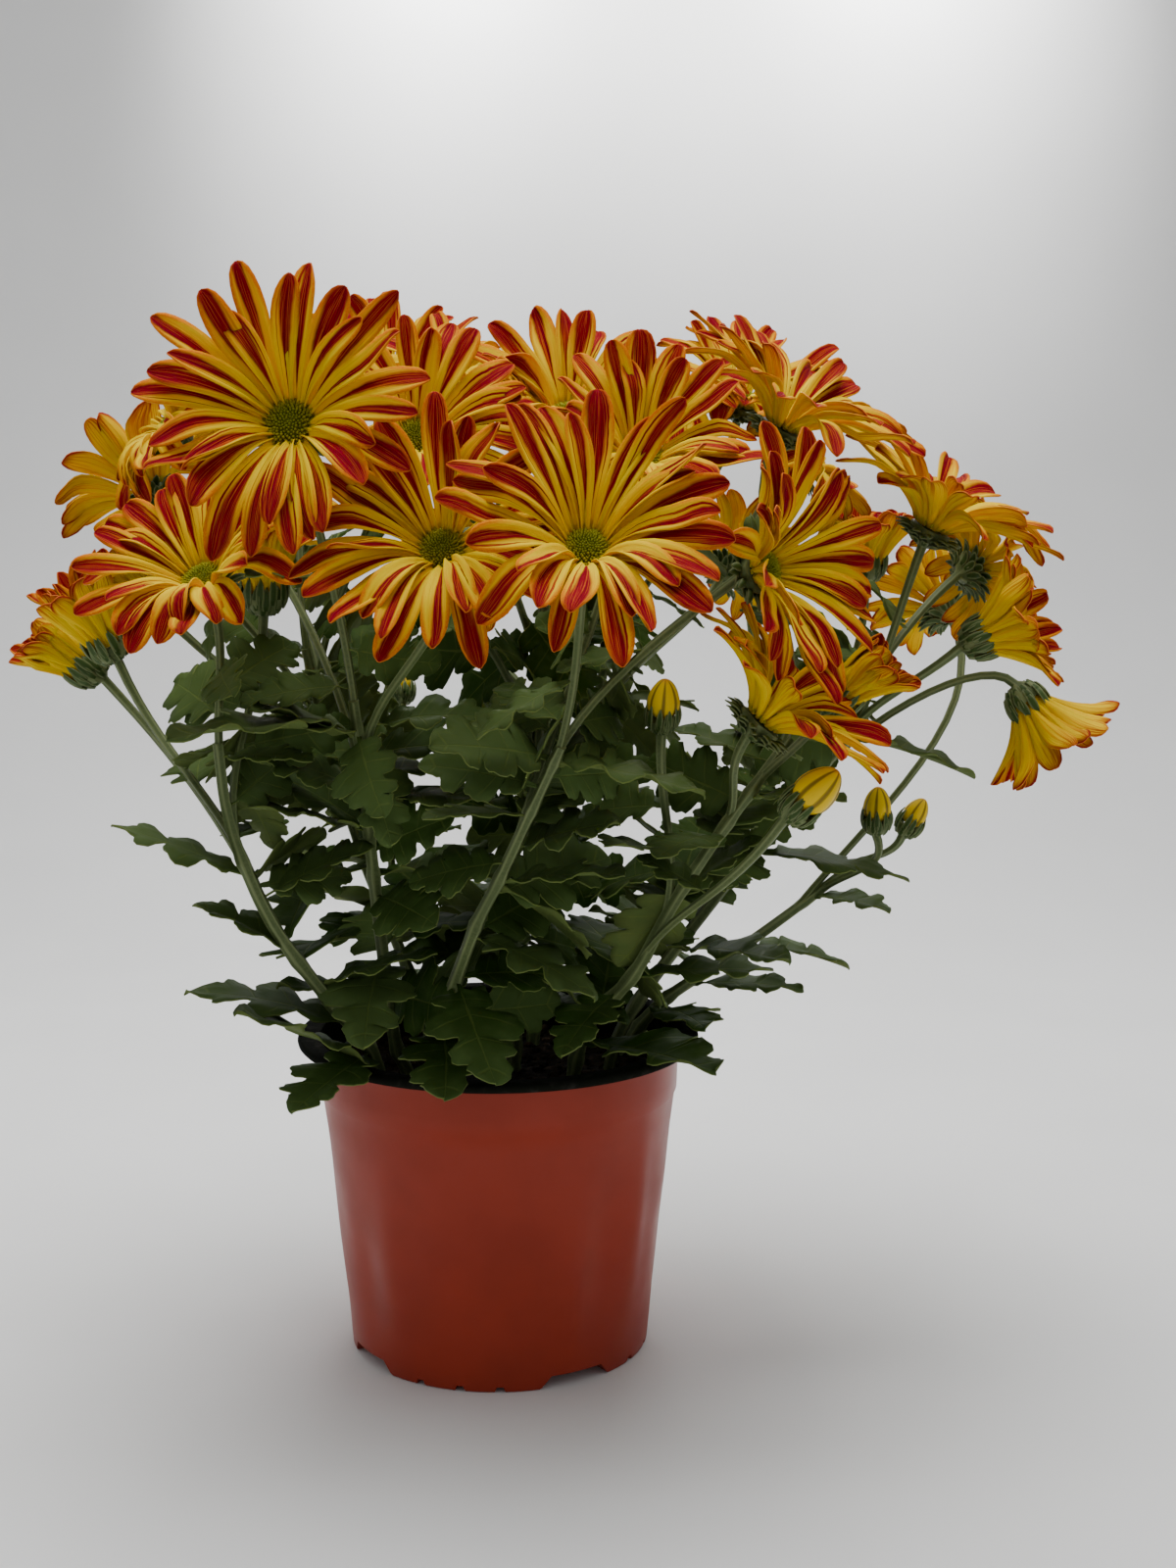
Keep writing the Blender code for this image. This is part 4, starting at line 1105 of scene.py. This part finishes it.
class PLANT_OT_stems(bpy.types.Operator):
    """Grow the ribbed canes, the flower stems and the green cups"""

    bl_idname = "plant.stems"
    bl_label = "Stems"

    def execute(self, context):
        stems = context.scene.plant_stems
        outline = rib_outline(stems)
        skin = stem_skin(stems)
        green = bract_green(stems)
        blank = grid_blank(BRACT_COLUMNS, BRACT_ROWS)
        for cane in CANES:
            solid = node_points(cane)
            curve = bpy.data.curves.new(f"{cane}_stems", "CURVE")
            curve.dimensions = "3D"
            curve.bevel_mode = "OBJECT"
            curve.bevel_object = outline
            curve.use_fill_caps = True
            curve.materials.append(skin)
            add_cane(curve, cane)
            work = bmesh.new()
            for name in heads_on(cane):
                add_pedicel(curve, name, solid)
                put_bracts(work, blank, name)
            settle(mesh_of(curve), "foliage", cane)
            if len(work.verts):
                bracts = piece_from(work, f"{cane}_bracts", [green, green, green])
                thicken(bracts, BRACT_THICKNESS)
                settle(bracts, "foliage", cane)
            else:
                work.free()
        discard(blank)
        bpy.data.objects.remove(outline)
        return {"FINISHED"}


# Leaves

LEAF_COLUMNS = 4
FIRST_SIDE_VEIN = 0.075
SIDE_VEIN_STEP = 0.24

# Where the tips of the added leaves may lie, how often a place is sought for one, and how a leaf
# may be pitched and rolled.
LOWEST_TIP = 138 * MM
CANOPY_RADIUS = 62 * MM
CANOPY_SPREAD = 0.62
PLACE_TRIES = 16
PITCH_RANGE = (-70, 35)
ROLL_RANGE = (-15, 80)

# Where the added leaves start and end on a cane and on a flower stem, their length at its foot,
# how much shorter they are at its end, and the spans into which a flower stem is parted for them.
ADDED_ON_CANE = (0.26, 0.98, 60)
ADDED_ON_STEM = (0.04, 0.70, 46)
SHORTER_AT_END = 22
LEAFY_SPANS = 8

# Half a leaf's outline: a point of its midrib, then the point of the margin that a row runs to.
LEAF_OUTLINE = (
    (0.00, 0.00, 0.017), (0.07, 0.07, 0.015), (0.13, 0.13, 0.022),
    (0.15, 0.15, 0.07), (0.17, 0.175, 0.16), (0.19, 0.21, 0.225), (0.205, 0.25, 0.230),
    (0.22, 0.285, 0.245), (0.24, 0.32, 0.230), (0.26, 0.335, 0.185), (0.28, 0.35, 0.155),
    (0.30, 0.365, 0.185), (0.32, 0.39, 0.270), (0.34, 0.43, 0.335), (0.355, 0.47, 0.332),
    (0.37, 0.515, 0.365), (0.39, 0.56, 0.352), (0.405, 0.59, 0.308), (0.42, 0.62, 0.300),
    (0.46, 0.635, 0.250), (0.50, 0.625, 0.185), (0.53, 0.625, 0.148), (0.56, 0.65, 0.160),
    (0.58, 0.68, 0.210), (0.60, 0.715, 0.262), (0.62, 0.75, 0.250), (0.64, 0.79, 0.262),
    (0.67, 0.82, 0.230), (0.70, 0.825, 0.178), (0.74, 0.825, 0.145), (0.77, 0.85, 0.145),
    (0.80, 0.88, 0.160), (0.83, 0.91, 0.136), (0.87, 0.945, 0.122), (0.92, 0.975, 0.082),
    (0.96, 0.995, 0.042), (1.00, 1.00, 0.0),
)
LEAF_ROWS = len(LEAF_OUTLINE) - 1

# The rows of that outline at which the blade starts, and its second, third and last lobe.
BLADE_START = 4
LOBE_STARTS = (11, 22, 30)


def leaves_on(cane):
    """The solid cane's leaves with their numbers. Up a cane at the back they are evenly spread."""
    leaves = [Leaf(name, *leaf) for name, rows in LEAVES.items() for leaf in rows]
    for name, (count, start) in FILLER_LEAVES.items():
        for k in range(count):
            share = 0.24 + 0.70 * k / max(count - 1, 1)
            azimuth = start + GOLDEN_ANGLE * k
            leaves.append(Leaf(name, share, azimuth, 50 - 12 * share, 12 - 20 * (1 - share)))
    return [(index, leaf) for index, leaf in enumerate(leaves) if leaf.cane == cane]


def leaf_place(root, azimuth, pitch, size, seed, roll=0.0):
    """Gives the point of a blade at a share along it and a share of its length to a side."""
    rng = random.Random(seed)
    out = facing(azimuth, pitch)
    side = Matrix.Rotation(roll, 3, out) @ polar(math.radians(azimuth))
    normal = out.cross(side)
    arch = rng.uniform(0.10, 0.22)
    fold = rng.uniform(0.15, 0.35)
    swing = rng.uniform(-0.10, 0.10)

    def place(share, across, lift=0.0):
        bend = share * (0.06 - arch * share) + fold * abs(across) + lift
        return root + (out * share + side * (across + swing * share ** 2) + normal * bend) * size

    return place


def put_leaf(work, blank, leaves, place, seed, tone):
    """Adds the fine blade that follows place, with waves in its margin and uneven lobes."""
    rng = random.Random(f"{seed} wave")
    phase = rng.uniform(0, 2 * math.pi)
    wave = rng.uniform(0.012, 0.034)
    broad = rng.uniform(0.88, 1.12) * leaves.breadth
    uneven = [(rng.uniform(0.84, 1.10), rng.uniform(-0.03, 0.03)) for lobe in range(8)]

    def shape(co):
        row = round((co.y + 1) / 2 * LEAF_ROWS)
        rib, ahead, half = LEAF_OUTLINE[row]
        part = abs(co.x)
        grown, shift = uneven[sum(row >= start for start in LOBE_STARTS) + (4 if co.x > 0 else 0)]
        half *= broad * (1 + (grown - 1) * (row >= BLADE_START))
        ahead += shift * min(half / 0.2, 1) * (row >= BLADE_START)
        ahead = rib + (ahead - rib) * part
        across = -co.x * half
        ripple = wave * math.sin(2 * math.pi * 3.1 * ahead + phase) * co.x * part
        return place(ahead, across, ripple - 0.5 * across ** 2)

    put_copy(work, blank, shape, (tone, rng.random()))


def solid_leaf(leaf, seed, path, points):
    """The place function of the solid's leaf, turned as the solid's is, found by its tip."""
    root, _ = point_along(path, leaf.share)

    def turned_place(bend):
        turn, tilt, part = bend
        return leaf_place(root, leaf.azimuth + turn, leaf.pitch + tilt, leaf.size * MM * part, seed)

    return turned_place(min(LEAF_TRIES, key=lambda bend: points.find(turned_place(bend)(1, 0))[2]))


def blade_tree(place):
    """A search tree of a plain outline of the blade, without its stalk."""
    outline = ((0.24, 0.05), (0.40, 0.24), (0.66, 0.33), (0.86, 0.20))
    verts = [place(1, 0)] + [place(share, side * half) for side in (-1, 1) for share, half in outline]
    faces = [(1, 2, 6, 5), (2, 3, 7, 6), (3, 4, 8, 7), (4, 0, 8)]
    return BVHTree.FromPolygons(verts, faces)


def solid_tree(mesh):
    return BVHTree.FromPolygons([v.co for v in mesh.vertices], [p.vertices for p in mesh.polygons])


def free_place(root, size, index, seed, taken):
    """A leaf's place, turned until it is clear of the solids and earlier leaves, or none."""
    rng = random.Random(seed)
    start = rng.uniform(0, 360)
    for attempt in range(PLACE_TRIES):
        azimuth = start + GOLDEN_ANGLE * index + 36 * attempt
        pitch = rng.uniform(*PITCH_RANGE)
        roll = math.radians(rng.uniform(*ROLL_RANGE) * math.cos(math.radians(pitch)))
        own = size * rng.uniform(0.75, 1.15)
        place = max(
            (leaf_place(root, azimuth, pitch, own, seed, turn) for turn in (roll, -roll)),
            key=lambda found: (found(0.5, 0, 1) - found(0.5, 0)).dot(root.xy.to_3d()),
        )
        tree = blade_tree(place)
        tip = place(1, 0)
        inside = math.hypot(tip.x, tip.y) < CANOPY_RADIUS + CANOPY_SPREAD * (tip.z - LOWEST_TIP)
        if inside and tip.z > LOWEST_TIP and not any(tree.overlap(other) for other in taken):
            taken.append(tree)
            return place
    return None


class PLANT_OT_leaves(bpy.types.Operator):
    """Grow the lobed leaves, and smaller ones between them"""

    bl_idname = "plant.leaves"
    bl_label = "Leaves"

    def execute(self, context):
        leaves = context.scene.plant_leaves
        materials = [leaf_top(leaves), leaf_underside(leaves), leaf_edge(leaves)]
        blank = grid_blank(LEAF_COLUMNS, LEAF_ROWS)
        taken = [solid_tree(solid.data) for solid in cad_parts.values()]
        for cane in CANES:
            path = cane_path(cane)
            solid = node_points(cane)
            work = bmesh.new()
            rng = random.Random(cane + " leaves")
            for index, leaf in leaves_on(cane):
                seed = f"leaf {index}"
                put_leaf(work, blank, leaves, solid_leaf(leaf, seed, path, solid), seed, rng.random())
            ways = [(path, ADDED_ON_CANE, leaves.more)]
            for name in heads_on(cane):
                way = pedicel_path(name, solid, LEAFY_SPANS)
                ways.append((way, ADDED_ON_STEM, leaves.on_stems))
            for spot, (way, (low, high, size), count) in enumerate(ways):
                for index in range(count):
                    share = low + (high - low) * (index + rng.uniform(0, 0.9)) / count
                    root, _ = point_along(way, share)
                    seed = f"{cane} more {spot} {index}"
                    place = free_place(root, (size - SHORTER_AT_END * share) * MM, index, seed, taken)
                    if place:
                        put_leaf(work, blank, leaves, place, seed, rng.random())
            obj = piece_from(work, f"{cane}_leaves", materials)
            thicken(obj, leaves.thickness)
            settle(obj, "foliage", cane)
        discard(blank)
        return {"FINISHED"}


# Flower heads

PETAL_COLUMNS = 6
PETAL_ROWS = 12
LINE_PARTS = 12
BUD_RIDGES = 7
BUD_GROOVE = (0.16, 0.10, 0.012)
BUD_RIDGE_HEIGHT = 0.07
BUD_RADIUS = 0.40
BUD_STEPS = 56
BUD_RINGS = 20
FLORETS = 240
DISC_RADIUS = 7.3 * MM
DISC_RISE = 2.9 * MM
DISC_BASE = 1.6 * MM

# The head whose disc is larger, and how much.
LARGE_DISC = ("bloom_01", 1.18)

# For each form, its layers of petals: the turn from the solid's rays as a share of their spacing,
# the lift, the length, the width, the channel, and the spacing, which is 2 where only each second
# place holds one.
LAYERS = {
    "open": (
        (0.0, 0, 1.0, 1.0, 0.6, 1), (0.5, 8, 0.97, 0.96, 0.7, 1), (0.25, 17, 0.88, 0.84, 0.9, 2),
    ),
    "reflexed": (
        (0.0, 0, 1.0, 1.0, 0.8, 1), (0.5, 12, 0.97, 0.92, 0.9, 1), (0.25, 26, 0.86, 0.8, 1.0, 1),
    ),
    "cup": (
        (0.0, 0, 1.0, 1.05, 0.9, 1), (0.5, 5, 1.0, 1.0, 0.9, 1), (0.25, 12, 0.92, 0.9, 1.1, 1),
    ),
    "shut": (
        (0.0, 0, 1.0, 1.0, 1.0, 1), (0.5, 3, 1.0, 0.95, 1.0, 1), (0.25, 9, 0.94, 0.85, 1.2, 1),
    ),
}

# How far the petals on a head's lower side give way to their weight, at most.
HANG = {"open": 0.9, "reflexed": 0.3, "cup": 0.0, "shut": 0.0}


def ray_line(matrix, phi, lifts, reach, sag):
    """The middle line of a ray, from its root to its tip. It has a lift at each end."""
    turn = matrix.to_3x3()
    axis = turn @ UP
    out = turn @ polar(phi)
    point = matrix @ Vector((0, 0, GAP + RAY_THICKNESS / 2)) + out * RAY_ROOT_RADIUS
    line = [point.copy()]
    for part in range(1, LINE_PARTS + 1):
        share = part / LINE_PARTS
        angle = math.radians(lifts[0] + (lifts[1] - lifts[0]) * (share - 0.5 / LINE_PARTS))
        direction = out * math.cos(angle) + axis * math.sin(angle) - UP * sag * share
        point = point + direction.normalized() * reach / LINE_PARTS
        line.append(point.copy())
    return line


def solid_rays(name, solid):
    """Azimuth, lifts and length of each ray of the solid head, found by where its tip lies."""
    head = HEADS[name]
    count, lift, drop, sag = FORMS[head.form]
    if head.form == "open" and name not in WITH_OWN_DISC:
        count = RAYS_WITH_FUSED_DISC
    matrix = head_matrix(name)
    rng = random.Random(name)
    start = rng.uniform(0, 2 * math.pi)
    rays = []
    for k in range(count):
        phi = start + 2 * math.pi * k / count
        wobble = rng.uniform(-5, 5)
        own = head.size * MM * rng.uniform(0.92, 1.04)

        def shape(bend):
            turn, part = bend
            return (lift + wobble + 0.4 * turn, drop + wobble + turn), own * part

        def miss(bend):
            lifts, reach = shape(bend)
            return solid.find(ray_line(matrix, phi, lifts, reach, sag)[-1])[2]

        rays.append((phi, *shape(min(RAY_TRIES, key=miss))))
    return rays


def petal_width(share):
    """The petal widens from a narrow claw, then rounds off to a blunt tip."""
    width = 0.27 + 0.73 * smooth_step((share - 0.02) / 0.72)
    if share > 0.74:
        width *= max(1 - ((share - 0.74) / 0.262) ** 2.3, 0) ** 0.56
    return width


def put_petal(work, blank, line, across, petal, rng):
    """Adds a petal along the line. petal holds its width, twist, sway, channel and hook."""
    width, twist, sway, channel, hook = petal
    rows = []
    for row in range(PETAL_ROWS + 1):
        share = 1 - (1 - row / PETAL_ROWS) ** 1.45
        at = min(share * LINE_PARTS, LINE_PARTS - 0.0001)
        part = int(at)
        centre = line[part].lerp(line[part + 1], at - part)
        before = line[max(part - 1, 0)]
        after = line[min(part + 2, LINE_PARTS)]
        ahead = (after - before).normalized()
        side = Matrix.Rotation(twist * share ** 2, 3, ahead) @ across
        side = (side - ahead * side.dot(ahead)).normalized()
        above = side.cross(ahead)
        half = width / 2 * petal_width(share)
        centre = centre + side * sway * share ** 2 + above * hook * smooth_step((share - 0.6) / 0.4)
        roll = channel * (0.34 + 1.5 * (1 - share) ** 2) + 0.25 * smooth_step((share - 0.84) / 0.16)
        rows.append((centre, side, above, half, roll))

    def place(co):
        centre, side, above, half, roll = rows[round((co.y + 1) / 2 * PETAL_ROWS)]
        rise = half * (roll * co.x ** 2 + 0.07 * math.cos(3 * math.pi * co.x))
        return centre + side * half * co.x + above * rise

    put_copy(work, blank, place, (rng.random(), rng.random()))


def head_petals(work, blank, name, solid, petals):
    """Adds layer upon layer of petals between and on the lines of the solid's rays."""
    head = HEADS[name]
    matrix = head_matrix(name)
    axis = matrix.to_3x3() @ UP
    rng = random.Random(name + " petals")
    rays = solid_rays(name, solid)
    sag = FORMS[head.form][3]
    full = petals.width * min(1.0, 0.55 + head.size / 80)
    for offset, lift, part, wide, channel, spacing in LAYERS[head.form]:
        for k in range(0, len(rays), spacing):
            phi, lifts, reach = rays[k]
            if offset:
                _, next_lifts, next_reach = rays[(k + 1) % len(rays)]
                phi += offset * 2 * math.pi / len(rays)
                lifts = tuple((a + b) / 2 for a, b in zip(lifts, next_lifts))
                reach = min(reach, next_reach)
            phi += rng.uniform(-0.05, 0.05)
            ends = (lifts[0] + lift, lifts[1] + lift + rng.uniform(-7, 7))
            own = max(reach, 0.86 * head.size * MM) * part * rng.uniform(0.94, 1.03)
            out = matrix.to_3x3() @ polar(phi)
            hang = max(-out.z, 0) * rng.uniform(0, HANG[head.form])
            line = ray_line(matrix, phi, ends, own, sag + hang)
            petal = (
                full * wide * rng.uniform(0.84, 1.12), rng.gauss(0, 0.45), rng.gauss(0, 0.08) * own,
                channel * rng.uniform(0.7, 1.4), rng.gauss(0, 0.085) * own,
            )
            put_petal(work, blank, line, out.cross(axis), petal, rng)


def disc_point(matrix, share, angle, scale):
    """A point of the dome at a share of its radius."""
    radius = DISC_RADIUS * scale * share
    height = DISC_BASE + DISC_RISE * scale * (1 - share ** 2) ** 0.8
    return matrix @ Vector((radius * math.cos(angle), radius * math.sin(angle), height))


def head_disc(name, blank, material):
    """A dome of florets set round each other at the golden angle, over a plain core."""
    matrix = head_matrix(name)
    rng = random.Random(name + " florets")
    scale = LARGE_DISC[1] if name == LARGE_DISC[0] else 1.0
    work = bmesh.new()
    centre = disc_point(matrix, 0, 0, scale)
    axis = matrix.to_3x3() @ UP

    def core(co):
        flat = Vector((co.x, co.y, 0))
        local = flat * DISC_RADIUS * scale * 0.97
        local.z = DISC_BASE - 0.4 * MM
        if co.z > 0:
            local.z += DISC_RISE * scale * math.sqrt(max(1 - flat.length ** 2, 0))
        return matrix @ local

    put_copy(work, blank, core, (0.4, 0.5))
    for index in range(1, FLORETS + 1):
        share = math.sqrt(index / FLORETS)
        angle = math.radians(GOLDEN_ANGLE) * index + rng.gauss(0, 0.03)
        place = disc_point(matrix, min(share * rng.uniform(0.96, 1.02), 1.0), angle, scale)
        outward = (place - (centre - axis * 8 * MM)).normalized()
        side = outward.orthogonal().normalized()
        other = outward.cross(side)
        size = (0.34 + 0.14 * share) * MM * scale * rng.uniform(0.8, 1.2)
        tall = (1.7 + 0.9 * share) * rng.uniform(0.8, 1.3)

        def shape(co):
            return place + (side * co.x + other * co.y + outward * co.z * tall) * size

        put_copy(work, blank, shape, (share, rng.random()))
    return piece_from(work, f"{name}_florets", [material])


class PLANT_OT_flowers(bpy.types.Operator):
    """Open the flower heads: petals in layers, with a dome of florets in each open one"""

    bl_idname = "plant.flowers"
    bl_label = "Flowers"

    def execute(self, context):
        petals = context.scene.plant_petals
        materials = [petal_top(petals), petal_underside(petals), petal_edge(petals)]
        floret = disc_floret(petals)
        blank = grid_blank(PETAL_COLUMNS, PETAL_ROWS)
        ball = ball_blank()
        for name, head in HEADS.items():
            if head.form == "bud":
                continue
            own_disc = name in WITH_OWN_DISC
            rays = f"{name}_rays" if own_disc else name
            work = bmesh.new()
            head_petals(work, blank, name, node_points(rays), petals)
            obj = piece_from(work, f"{name}_petals", materials)
            thicken(obj, petals.thickness)
            settle(obj, "rays" if head.form in WIDE_FORMS else "opening_rays", rays)
            if head.form in WIDE_FORMS:
                settle(head_disc(name, ball, floret), "disc", f"{name}_disc" if own_disc else name)
        discard(blank)
        discard(ball)
        return {"FINISHED"}


class PLANT_OT_buds(bpy.types.Operator):
    """Shape the closed buds, ridged by the petals folded in them"""

    bl_idname = "plant.buds"
    bl_label = "Buds"

    def execute(self, context):
        material = bud_petal(context.scene.plant_petals)
        for name, head in HEADS.items():
            if head.form != "bud":
                continue
            height = head.size * MM
            radius = BUD_RADIUS * height
            matrix = head_matrix(name)
            obj = added(
                bpy.ops.mesh.primitive_uv_sphere_add, segments=BUD_STEPS, ring_count=BUD_RINGS, radius=1,
            )
            obj.name = f"{name}_petals"
            obj.data.uv_layers[0].name = "blade"
            for vertex in obj.data.vertices:
                x, y, z = vertex.co
                up = (z + 1) / 2
                angle = math.atan2(y, x)
                ridge = 1 + BUD_RIDGE_HEIGHT * abs(math.sin(angle * BUD_RIDGES / 2 + 0.5 * up))
                swell = radius * ridge * (1.08 - 0.38 * up)
                vertex.co = matrix @ Vector((x * swell, y * swell, up * height + GAP))
            obj.data.materials.append(material)
            select_only(obj)
            bpy.ops.object.shade_smooth()
            settle(obj, "opening_rays", name)
        return {"FINISHED"}


# Stage

CAMERA_PLACE = (0.0336, -0.8592, 0.3517)
CAMERA_PITCH = 80.85
CAMERA_LENS = 54.09
CAMERA_SENSOR = 36
CAMERA_NEAR = 0.01
SWEEP_PARTS = 80
SWEEP_FRONT = 1.6
SWEEP_DEPTH = 0.62
SWEEP_RADIUS = 0.45
SWEEP_HEIGHT = 1.6
SWEEP_HALF_WIDTH = 2.2

# The lamps: name, place, pitch, size, spread and the setting that holds the power.
LAMPS = (
    ("top light", (0.0, 0.10, 1.35), 0, 1.1, 100, "top_power"),
    ("wall light", (0.06, 0.45, 1.05), 42, 0.3, 120, "wall_power"),
    ("wall glow left", (-0.07, 0.78, 0.93), 54, 0.08, 66, "glow_power"),
    ("wall glow right", (0.26, 0.78, 0.93), 54, 0.08, 66, "glow_power"),
)


def sweep_point(distance):
    """Depth and height of the seamless backdrop at a distance along it."""
    front = SWEEP_DEPTH + SWEEP_FRONT
    if distance < front:
        return distance - SWEEP_FRONT, 0.0
    arc = SWEEP_RADIUS * math.pi / 2
    if distance < front + arc:
        angle = (distance - front) / SWEEP_RADIUS
        return SWEEP_DEPTH + SWEEP_RADIUS * math.sin(angle), SWEEP_RADIUS * (1 - math.cos(angle))
    return SWEEP_DEPTH + SWEEP_RADIUS, SWEEP_RADIUS + distance - front - arc


class PLANT_OT_stage(bpy.types.Operator):
    """Set the pale seamless sweep, the soft lights and the camera"""

    bl_idname = "plant.stage"
    bl_label = "Stage"

    def execute(self, context):
        stage = context.scene.plant_stage
        self.add_sweep(stage)
        self.add_lights(context, stage)
        pitch = (math.radians(CAMERA_PITCH), 0, 0)
        camera = added(bpy.ops.object.camera_add, location=CAMERA_PLACE, rotation=pitch)
        camera.data.lens = CAMERA_LENS
        camera.data.sensor_width = CAMERA_SENSOR
        camera.data.clip_start = CAMERA_NEAR
        context.scene.camera = camera
        return {"FINISHED"}

    def add_sweep(self, stage):
        add_grid = bpy.ops.mesh.primitive_grid_add
        sweep = added(add_grid, x_subdivisions=4, y_subdivisions=SWEEP_PARTS, size=2)
        sweep.name = "sweep"
        total = SWEEP_DEPTH + SWEEP_FRONT + SWEEP_RADIUS * math.pi / 2 + SWEEP_HEIGHT
        for vertex in sweep.data.vertices:
            y, z = sweep_point((vertex.co.y + 1) / 2 * total)
            vertex.co = (vertex.co.x * SWEEP_HALF_WIDTH, y, z)
        sweep.data.materials.append(backdrop_paper(stage))
        bpy.ops.object.shade_smooth()

    def add_lights(self, context, stage):
        world = bpy.data.worlds.new("Air")
        world.use_nodes = True
        background = world.node_tree.nodes["Background"]
        background.inputs["Color"].default_value = (*stage.air, 1)
        background.inputs["Strength"].default_value = stage.air_strength
        context.scene.world = world
        for name, place, pitch, size, spread, setting in LAMPS:
            turn = (math.radians(pitch), 0, 0)
            lamp = added(bpy.ops.object.light_add, type="AREA", location=place, rotation=turn)
            lamp.name = name
            lamp.data.size = size
            lamp.data.energy = getattr(stage, setting)
            lamp.data.spread = math.radians(spread)


class PLANT_PT_panel(bpy.types.Panel):
    """Buttons and sizes of the potted chrysanthemum"""

    bl_idname = "PLANT_PT_panel"
    bl_label = "Potted chrysanthemum"
    bl_space_type = "VIEW_3D"
    bl_region_type = "UI"
    bl_category = "Chrysanthemum"

    def draw(self, context):
        for operator in OPERATORS:
            self.layout.operator(operator.bl_idname)
        for name in SETTINGS:
            group = getattr(context.scene, name)
            box = self.layout.box()
            for field in group.bl_rna.properties.keys():
                if field not in ("rna_type", "name"):
                    box.prop(group, field)


OPERATORS = (
    PLANT_OT_stage, PLANT_OT_pot, PLANT_OT_soil, PLANT_OT_stems, PLANT_OT_leaves, PLANT_OT_flowers,
    PLANT_OT_buds,
)
SETTINGS = {
    "plant_pot": PotSettings,
    "plant_soil": SoilSettings,
    "plant_stems": StemSettings,
    "plant_leaves": LeafSettings,
    "plant_petals": PetalSettings,
    "plant_stage": StageSettings,
}


def register():
    for name, group in SETTINGS.items():
        bpy.utils.register_class(group)
        setattr(bpy.types.Scene, name, bpy.props.PointerProperty(type=group))
    for operator in OPERATORS:
        bpy.utils.register_class(operator)
    bpy.utils.register_class(PLANT_PT_panel)


def unregister():
    bpy.utils.unregister_class(PLANT_PT_panel)
    for operator in reversed(OPERATORS):
        bpy.utils.unregister_class(operator)
    for name, group in SETTINGS.items():
        delattr(bpy.types.Scene, name)
        bpy.utils.unregister_class(group)


def main():
    register()
    bpy.ops.plant.stage()
    bpy.ops.plant.pot()
    bpy.ops.plant.soil()
    bpy.ops.plant.stems()
    bpy.ops.plant.leaves()
    bpy.ops.plant.flowers()
    bpy.ops.plant.buds()


if __name__ == "__main__":
    main()
